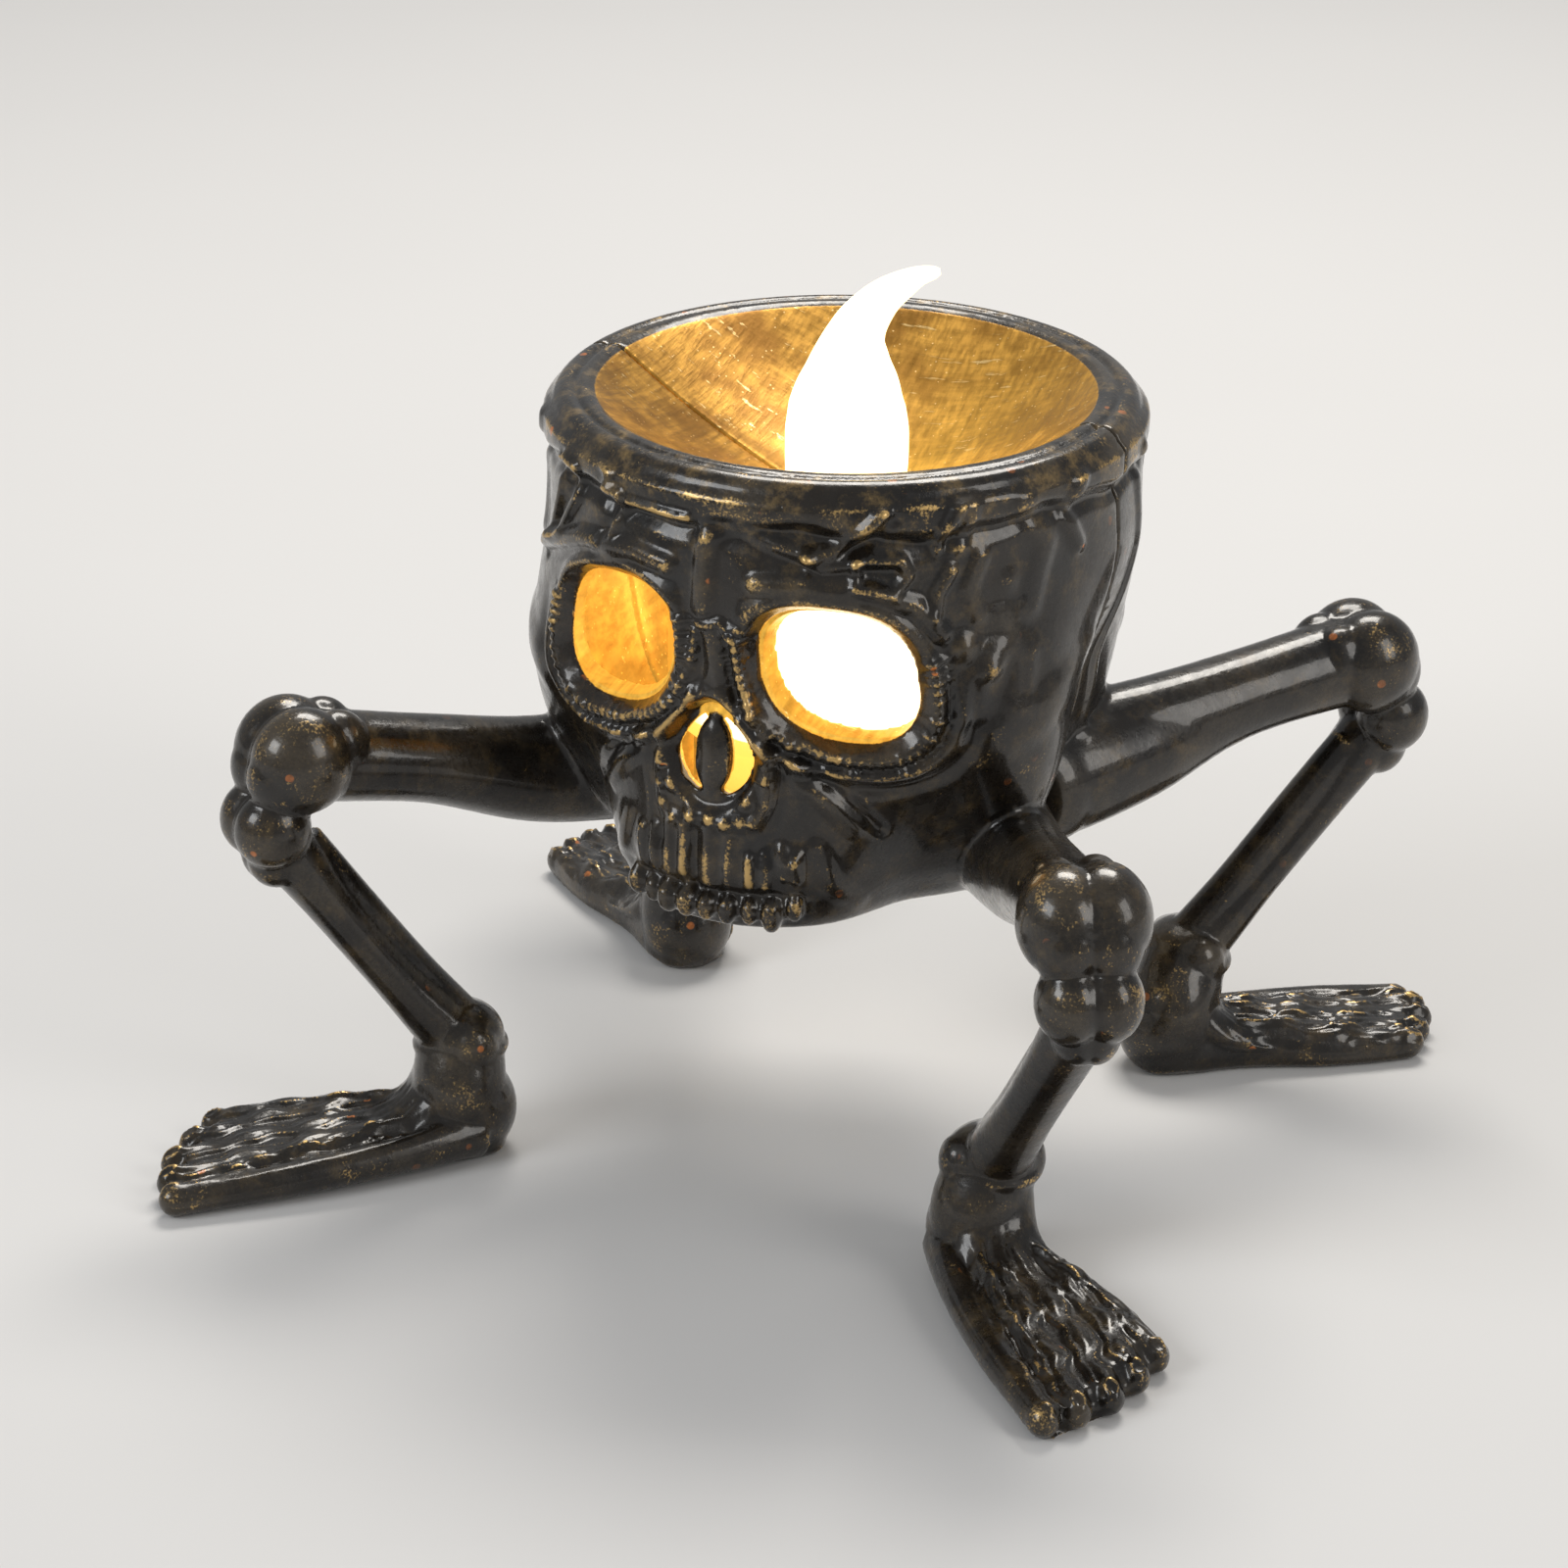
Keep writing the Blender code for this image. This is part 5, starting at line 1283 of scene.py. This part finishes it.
# The foot: heel, instep, a rounded slab in the outline of the toes, and the toes' ends
def addFoot(bm, leg, side):
    heel, length, ahead, beside = footFrame(leg, side)
    ankle, toes = legFrame(leg, side)[0]["ankle"], leg["toes"]
    turn = math.atan2(ahead.y, ahead.x)

    def spot(along, sideways, height):
        return heel + ahead * length * along + beside * sideways + upward * height

    addBall(bm, spot(0.05, 0.0, 0.00464), (0.0054, 0.0051, 0.0058), turn)
    block = (ankle + upward * 0.0010, spot(0.07, 0.0, 0.0070), spot(0.07, 0.0, 0.0010))
    addBone(bm, block, [0.0047, 0.0050, 0.0046], ahead)
    middle = 0.5 * (toes[0][1] + toes[-1][1])
    instep = (ankle - upward * 0.0005, spot(0.18, 0.25 * middle, 0.0050), spot(0.40, 0.7 * middle, 0.0024))
    addBone(bm, instep, [(0.0042, 0.0040), (0.0046, 0.0026), (0.0050, 0.0014)], beside)
    first, last = toes[0][1], toes[-1][1]
    outline = [(0.05, -0.0045), (0.20, -0.0044), (0.40, first - 0.0004), (0.62, first - 0.0012)]
    outline += [(0.84, first - 0.0012), (toes[0][0] - 0.06, first - 0.0004)]
    for (reach, end), (nextReach, nextEnd) in zip(toes, toes[1:]):
        between = (0.5 * (reach + nextReach) - 0.062, 0.5 * (end + nextEnd))
        outline += [(reach - 0.035, end), between]
    outline.append((toes[-1][0] - 0.035, last))
    outline += [(toes[-1][0] - 0.10, last + 0.0012), (0.56, 0.97 * last + 0.0010)]
    outline += [(0.40, 0.80 * last + 0.0008), (0.25, 0.45 * last + 0.0020), (0.10, 0.0046)]
    outline += [(-0.03, 0.0036), (-0.07, 0.0), (-0.03, -0.0036)]
    closed = [(along * length, sideways, 0.0) for along, sideways in outline + outline[:1]]
    around = curveThrough(closed, 130)[:-1]
    rings = []
    for share, inset in foot["edge"]:
        ring = []
        for index, point in enumerate(around):
            run = around[(index + 1) % len(around)] - around[index - 1]
            inward = Vector((-run.y, run.x, 0.0)).normalized() * inset
            place = point + inward
            top = float(np.interp(place.x / length, foot["alongs"], foot["heights"]))
            ring.append(spot(place.x / length, place.y, share * top))
        rings.append(ring)
    addLoft(bm, rings)
    for index, (reach, end) in enumerate(toes):
        thick = 0.80 * legs["toe"] * (1.0 - 0.05 * index)
        ray = [spot(along, end * (0.90 + 0.10 * along), height) for along, height in
               ((0.62, 0.0022), (0.75 * reach, 0.0023), (reach - 0.13, 0.0021), (reach - 0.078, 0.0019))]
        addBone(bm, ray, [0.9 * thick, thick, 1.05 * thick, 1.05 * thick], beside, 40, 24)
        addBall(bm, spot(reach - 0.074, end, 0.0018), (0.0020, 1.18 * thick, 0.0018), turn)
    # Rolled edge along the big toe's side, from the heel to the toe
    edge = [spot(0.04, -0.0028, 0.0032), spot(0.32, first - 0.0002, 0.0027)]
    edge += [spot(0.62, first - 0.0007, 0.0023), spot(0.92, first - 0.0002, 0.0018)]
    addBone(bm, edge, [0.0027, 0.0020, 0.0018, 0.0016], beside)


# Raises the bones under a foot's skin: thin crests either side of each toe's line, pinched between its
# joints, and sinks a crease beside the rolled edge
def carveFeet(mesh, leg):
    points, normals = readPoints(mesh), readPoints(mesh, "normal")
    for side in (-1, 1):
        heel, length, ahead, beside = footFrame(leg, side)
        away = points - np.array(heel)
        along = away @ np.array(ahead) / length
        across = away @ np.array(beside)
        height = points[:, 2]
        on = easeIn(along, 0.17, 0.26) * easeIn(height, 0.0016, 0.0026) * (height < 0.0095)
        on = on * easeIn(normals[:, 2], 0.20, 0.60) * (points[:, 0] * side > 0.0)
        fromRoll = across - leg["toes"][0][1]
        on = on * easeIn(fromRoll, -0.0004, 0.0008)
        depth = np.full(len(points), -0.00035)
        for index, (reach, end) in enumerate(leg["toes"]):
            spread = np.interp(along, (0.16, 0.62, 1.0), (0.50, 0.94, 1.0))
            sway = 0.00035 * np.sin(26.0 * along + 1.7 * index) + 0.00015 * np.sin(61.0 * along + index)
            fromLine = np.abs(across - end * spread - sway)
            joint = 0.5 + 0.5 * np.cos(2.0 * math.pi * (along / reach - 0.93 + 0.02 * index) / 0.19)
            width = (0.00075 + 0.00045 * joint) * np.interp(along, (0.2, 0.6), (0.75, 1.1))
            depth += (0.00030 + 0.00030 * joint) * bump(fromLine, 0.8 * width)
            depth += 0.00030 * bump(fromLine - width, 0.00024)
            nail = np.hypot((along - reach + 0.052) * length, (across - end) * 1.3)
            depth += 0.00022 * bump(nail - 0.00085, 0.00022) - 0.00020 * bump(nail, 0.0005)
        depth -= 0.00060 * bump(fromRoll - 0.0013, 0.00045) * (1.0 - easeIn(along, 0.78, 0.90))
        points[:, 2] += depth * on
    writePoints(mesh, points)


# One half of the skull, from block to finished skin
def makeHalf(facing, name, node, paint):
    leg = legs[facing]
    bm = bmesh.new()
    addHalfBlock(bm, facing)
    for side in (-1, 1):
        addThigh(bm, leg, side)
        if facing == "rear":
            x, y, z = leg["hub"]
            hub = Vector((side * x, y, z))
            addBall(bm, hub, leg["hubSize"])
            spots = legFrame(leg, side)[0]
            blend = (hub, spots["hip"] - upward * 0.0010, spots["hip"].lerp(spots["knee"], 0.4))
            addBone(bm, blend, [0.0070, 0.0062, 0.0046], upward)
    block = linkClosed(name + "Block", bm)
    remesh(block, detail["blockVoxel"])
    wide = 0.5 * skull["halfGap"]
    plane = (-0.1, wide) if facing == "rear" else (-wide, 0.1)
    tools = [chamberTool(), ribTool(facing), dishTool()]
    well = stadium(skull["wellRadius"], skull["wellOffset"])
    tools.append(plateTool("wellTool", well, skull["wellBottom"], skull["wellTop"]))
    if facing == "front":
        tools.append(eyeTool("collarEyeTool", eye["collar"]))
        tools.append(eyeTool("eyeTool", eye["opening"]))
        tools.append(noseTool())
    tools.append(plateTool("sideTool", boxOutline(-0.1, 0.1, *plane), -0.01, 0.12))
    for tool in tools:
        added = tool.name.startswith("collar") or tool.name.endswith("RibTool")
        cut(block, tool, "UNION" if added else "DIFFERENCE")
    settle(block)
    for tool in tools:
        dropObject(tool)
    print(facing, "shell cut,", len(block.data.polygons), "faces")

    bm = bmesh.new()
    bm.from_mesh(block.data)
    dropObject(block)
    for side in (-1, 1):
        addLowerLeg(bm, leg, side)
        addFoot(bm, leg, side)
    if facing == "front":
        pleats = pleatTree()
        extras = [toothRow(), eyePleats(-1, pleats), eyePleats(1, pleats)]
        for extra in extras:
            bm.from_mesh(extra.data)
            dropObject(extra)
    made = linkMesh(name, bm)
    remesh(made, detail["skinVoxel"])
    carveFeet(made.data, leg)
    carveSkin(made.data, facing)
    soften = made.modifiers.new("soften", "SMOOTH")
    soften.factor = 0.5
    soften.iterations = 1
    thin = made.modifiers.new("thin", "DECIMATE")
    triangles = 2 * len(made.data.polygons)
    thin.ratio = min(1.0, detail["mostTriangles"] / triangles)
    settle(made)
    finishSkin(made, facing)
    coverWith(made, paint)
    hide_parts(node)
    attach(made, "holder")
    print(facing, "half done,", triangles, "triangles thinned to", len(made.data.polygons), "faces")
    return made


# Moves the skin in and out by the carving, where it is the skull's own outer face
def carveSkin(mesh, facing):
    points = readPoints(mesh)
    radius = np.hypot(points[:, 0], points[:, 1])
    angle = np.arctan2(points[:, 0], -points[:, 1])
    height = points[:, 2]
    picked = np.flatnonzero((radius > 0.012) & (height > skull["bottom"] - 0.001))
    outline = outlineRadius(angle[picked], height[picked])
    proud = radius[picked] - outline
    near = easeIn(proud, -0.0016, -0.0003) * (1.0 - easeIn(proud, 0.0012, 0.0024))
    move = carving(angle[picked], height[picked]) * near
    scale = 1.0 + move / radius[picked]
    points[picked, 0] *= scale
    points[picked, 1] *= scale
    # A thin groove round the top of the rim
    onRim = easeIn(height, skull["rimTop"] - 0.0012, skull["rimTop"] - 0.0004)
    points[:, 2] -= 0.00030 * onRim * bump(radius - 0.0279, 0.00032)
    points[:, 2] = np.maximum(points[:, 2], 0.0)
    limit = 0.5 * skull["halfGap"]
    if facing == "front":
        points[:, 1] = np.minimum(points[:, 1], -limit)
    else:
        points[:, 1] = np.maximum(points[:, 1], limit)
    writePoints(mesh, points)


# How proud each point stands of its surroundings, whether it is on the gold inside, and how much painted
# lamp light it gets by its nearness to the flame and the cup
def finishSkin(made, facing):
    mesh = made.data
    points = readPoints(mesh)
    normals = readPoints(mesh, "normal")
    count = len(points)
    edges = np.empty(len(mesh.edges) * 2, np.int32)
    mesh.edges.foreach_get("vertices", edges)
    a, b = edges.reshape(-1, 2).T
    shared = (np.bincount(a, minlength=count) + np.bincount(b, minlength=count))[:, None]
    soft = points.copy()
    length = np.median(np.linalg.norm(points[a] - points[b], axis=1))
    steps = [max(2, round((reach / length) ** 2)) for reach in (detail["fineReach"], detail["broadReach"])]
    marks = []
    for step in range(1, steps[1] + 1):
        sums = [np.bincount(a, soft[b, k], count) + np.bincount(b, soft[a, k], count) for k in range(3)]
        soft = 0.5 * soft + 0.5 * np.stack(sums, 1) / shared
        if step in steps:
            marks.append(((points - soft) * normals).sum(1))
    ranges = [(np.percentile(values, (5, 50, 95)) * 1e6).round().tolist() for values in marks]
    print(facing, "edges", round(length * 1e6), "steps", steps, "marks", ranges)
    # No gold on faces that look down, and little beside the seam between the halves
    worn = 1.0 - easeIn(-normals[:, 2], 0.70, 0.92)
    worn *= 0.35 + 0.65 * easeIn(np.abs(points[:, 1]), 0.0008, 0.0018)
    writeMark(mesh, "raisedFine", np.clip(0.5 + worn * marks[0] / detail["fineRange"], 0.0, 1.0))
    writeMark(mesh, "raisedBroad", np.clip(0.5 + marks[1] / detail["broadRange"], 0.0, 1.0))
    radius = np.hypot(points[:, 0], points[:, 1])
    angle = np.arctan2(points[:, 0], -points[:, 1])
    height = points[:, 2]
    outline = outlineRadius(angle, np.clip(height, skull["bottom"], skull["rimTop"]))
    fromEye = np.minimum(eyeShare(angle, height, -1), eyeShare(angle, height, 1))
    nearEye = (1.0 - easeIn(fromEye, 1.05, 1.12)) * (facing == "front")
    start = 0.0011 - 0.0005 * nearEye
    deep = easeIn(outline - radius, start, start + 0.0008) * (height > skull["bottom"] + 0.0006)
    chamber = deep * (height < skull["rimTop"] - 0.0045)
    inDish = (1.0 - easeIn(radius, dish["rimRadius"] - 0.0002, dish["rimRadius"] + 0.0005))
    inDish = inDish * (height > dishSurface(radius) - 0.0008) * (height > dish["collarBottom"])
    inside = np.maximum(chamber, inDish)
    writeMark(mesh, "inside", inside)
    # Painted lamp light on the gold inside: strongest beside the flame in the dish and at the cup's height
    # in the chamber, and in the dish brighter towards +X
    paintedLightNearFlame = 0.08 + 0.75 * np.exp(-np.clip(radius - 0.0064, 0.0, None) / 0.0072)
    paintedLightNearCup = 0.34 + 0.40 * np.exp(-(((height - 0.058) / 0.012) ** 2))
    paintedLightNearFlame *= 0.75 + 0.45 * np.sin(angle)
    writeMark(mesh, "glow", np.where(inDish > 0.5, paintedLightNearFlame, paintedLightNearCup))
    points[:, 1] += axisBack
    writePoints(mesh, np.clip(points, *cadBox))
    mesh.shade_smooth()


paint = bronzePaint()
makeHalf("front", "skullFrontShell", "skull_front_half", paint)
makeHalf("rear", "skullRearShell", "skull_rear_half", paint)

# The flame
flame = {
    "foot": 0.0643,
    "radius": 0.0064,
    "curl": math.radians(25.8),
    "steps": 60,
    "rings": 72,
    "around": 48,
    "sections": (  # sideways, up, share of the radius
        (0.0000, 0.0000, 0.78),
        (0.0000, 0.0007, 0.90),
        (0.0000, 0.0050, 0.97),
        (0.0001, 0.0090, 1.00),
        (0.0001, 0.0121, 1.00),
        (0.0001, 0.0148, 0.94),
        (0.0003, 0.0174, 0.81),
        (0.0005, 0.0200, 0.63),
        (0.0010, 0.0224, 0.47),
        (0.0020, 0.0243, 0.39),
        (0.0036, 0.0262, 0.31),
        (0.0055, 0.0276, 0.24),
        (0.0073, 0.0286, 0.16),
        (0.0089, 0.0290, 0.10),
        (0.0094, 0.0291, 0.05),
    ),
}


# A round section swept along a curve, as thick as the curve's own radius says
def sweptFlameTree():
    inputs = (("Rings", "NodeSocketInt", 60), ("Around", "NodeSocketInt", 32), ("Thickness", number, 1.0))
    tree, given, result = startTree("sweptFlame", inputs)
    sockets = {"Curve": given["Geometry"], "Count": given["Rings"]}
    smooth = resultOf(tree, "GeometryNodeResampleCurve", sockets)
    section = resultOf(tree, "GeometryNodeCurvePrimitiveCircle", {"Resolution": given["Around"]})
    radius = resultOf(tree, "GeometryNodeInputRadius")
    thick = calc(tree, "MULTIPLY", radius, given["Thickness"])
    sockets = {"Curve": smooth, "Profile Curve": section, "Scale": thick, "Fill Caps": True}
    solid = resultOf(tree, "GeometryNodeCurveToMesh", sockets)
    rounded = resultOf(tree, "GeometryNodeSetShadeSmooth", {"Geometry": solid})
    endTree(tree, result, rounded)
    return tree


def makeFlame():
    data = bpy.data.curves.new("flamePath", "CURVE")
    data.dimensions = "3D"
    steps = flame["steps"]
    along = np.linspace(0.0, 1.0, len(flame["sections"]))
    sections = np.array(flame["sections"])
    spots = curveThrough([(s, 0.0, z) for s, z, _ in flame["sections"]], steps)
    spline = data.splines.new("POLY")
    spline.points.add(steps - 1)
    for index, spot in enumerate(spots):
        share = float(np.interp(index / (steps - 1), along, sections[:, 2]))
        x, y = spot.x * math.cos(flame["curl"]), spot.x * math.sin(flame["curl"])
        spline.points[index].co = (x, y + axisBack, flame["foot"] + spot.z, 1.0)
        spline.points[index].radius = share * flame["radius"]
    carrier = bpy.data.objects.new("flamePath", data)
    scene.collection.objects.link(carrier)
    values = {"Rings": flame["rings"], "Around": flame["around"]}
    made = runTree("flameCap", carrier, sweptFlameTree(), values)
    coverWith(made, flamePlastic())
    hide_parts("flame")
    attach(made, "holder")
    print("flame done,", len(made.data.polygons), "faces")


makeFlame()

# The lamp's cup
cup = {
    "radius": 0.0184,
    "wall": 0.0014,
    "corner": 0.0014,
    "top": 0.0640,
    "ceiling": 0.0624,
    "bottom": 0.0479,
    "hole": 0.0032,
}


def makeCup():
    inside = cup["radius"] - cup["wall"]
    profile = [(cup["hole"], cup["top"]), (cup["hole"], cup["ceiling"]), (inside - 0.001, cup["ceiling"])]
    profile += [(inside, cup["ceiling"] - 0.001), (inside, cup["bottom"]), (cup["radius"], cup["bottom"])]
    corner = cup["corner"]
    for turn in np.linspace(0.0, math.pi / 2, 7):
        across = cup["radius"] - corner * (1.0 - math.cos(turn))
        profile.append((across, cup["top"] - corner * (1.0 - math.sin(turn))))
    made = turnedMesh("candleCup", profile, 128, closed=True)
    points = readPoints(made.data)
    points[:, 1] += axisBack
    writePoints(made.data, points)
    made.data.shade_smooth()
    made.data.set_sharp_from_angle(angle=math.radians(40.0))
    coverWith(made, cupPlastic())
    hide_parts("candle_body")
    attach(made, "holder")
    print("cup done")


makeCup()


# The battery case and what is in it


# Copies a CAD node's mesh, joins its loose triangles and rounds its edges a little
def roundedCopy(node, name, width, look, body):
    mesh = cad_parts[node].data.copy()
    bm = bmesh.new()
    bm.from_mesh(mesh)
    bmesh.ops.remove_doubles(bm, verts=bm.verts, dist=1e-6)
    bmesh.ops.dissolve_limit(bm, angle_limit=math.radians(1.0), verts=bm.verts, edges=bm.edges)
    made = linkMesh(name, bm)
    bevel = made.modifiers.new("roundedEdges", "BEVEL")
    bevel.width = width
    bevel.segments = 2
    bevel.limit_method = "ANGLE"
    bevel.angle_limit = math.radians(40.0)
    bevel.use_clamp_overlap = True
    settle(made)
    coverWith(made, look)
    made.data.shade_smooth()
    made.data.set_sharp_from_angle(angle=math.radians(35.0))
    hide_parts(node)
    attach(made, body)
    return made


blackPlastic = mouldedPlastic("blackPlastic", (0.016, 0.016, 0.017), 0.46, 2.2)
doorPlastic = mouldedPlastic("doorPlastic", (0.76, 0.71, 0.61), 0.40, 1.10, 3600.0)
steel = brushedMetal("plainSteel", (0.62, 0.62, 0.63), 0.24)
nickel = brushedMetal("nickelStrip", (0.66, 0.61, 0.50), 0.26)
tin = brushedMetal("tinnedWire", (0.72, 0.72, 0.70), 0.22)
roundedCopy("battery_case", "batteryCase", 0.00015, caseWithPaintedLampLight(), "holder")
roundedCopy("battery_door", "batteryDoor", 0.00015, doorPlastic, "holder")
roundedCopy("door_screw", "doorScrew", 0.00008, steel, "holder")
roundedCopy("switch_slider", "switchSlider", 0.00015, blackPlastic, "switch")
for node, look in (
    ("coin_cell", steel),
    ("contact_positive", nickel),
    ("contact_negative", nickel),
    ("led", clearResin()),
    ("led_lead_long", tin),
    ("led_lead_short", tin),
):
    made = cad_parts[node]
    for slotIndex in range(len(made.material_slots)):
        made.material_slots[slotIndex].material = look
print("battery case and inner pieces done")
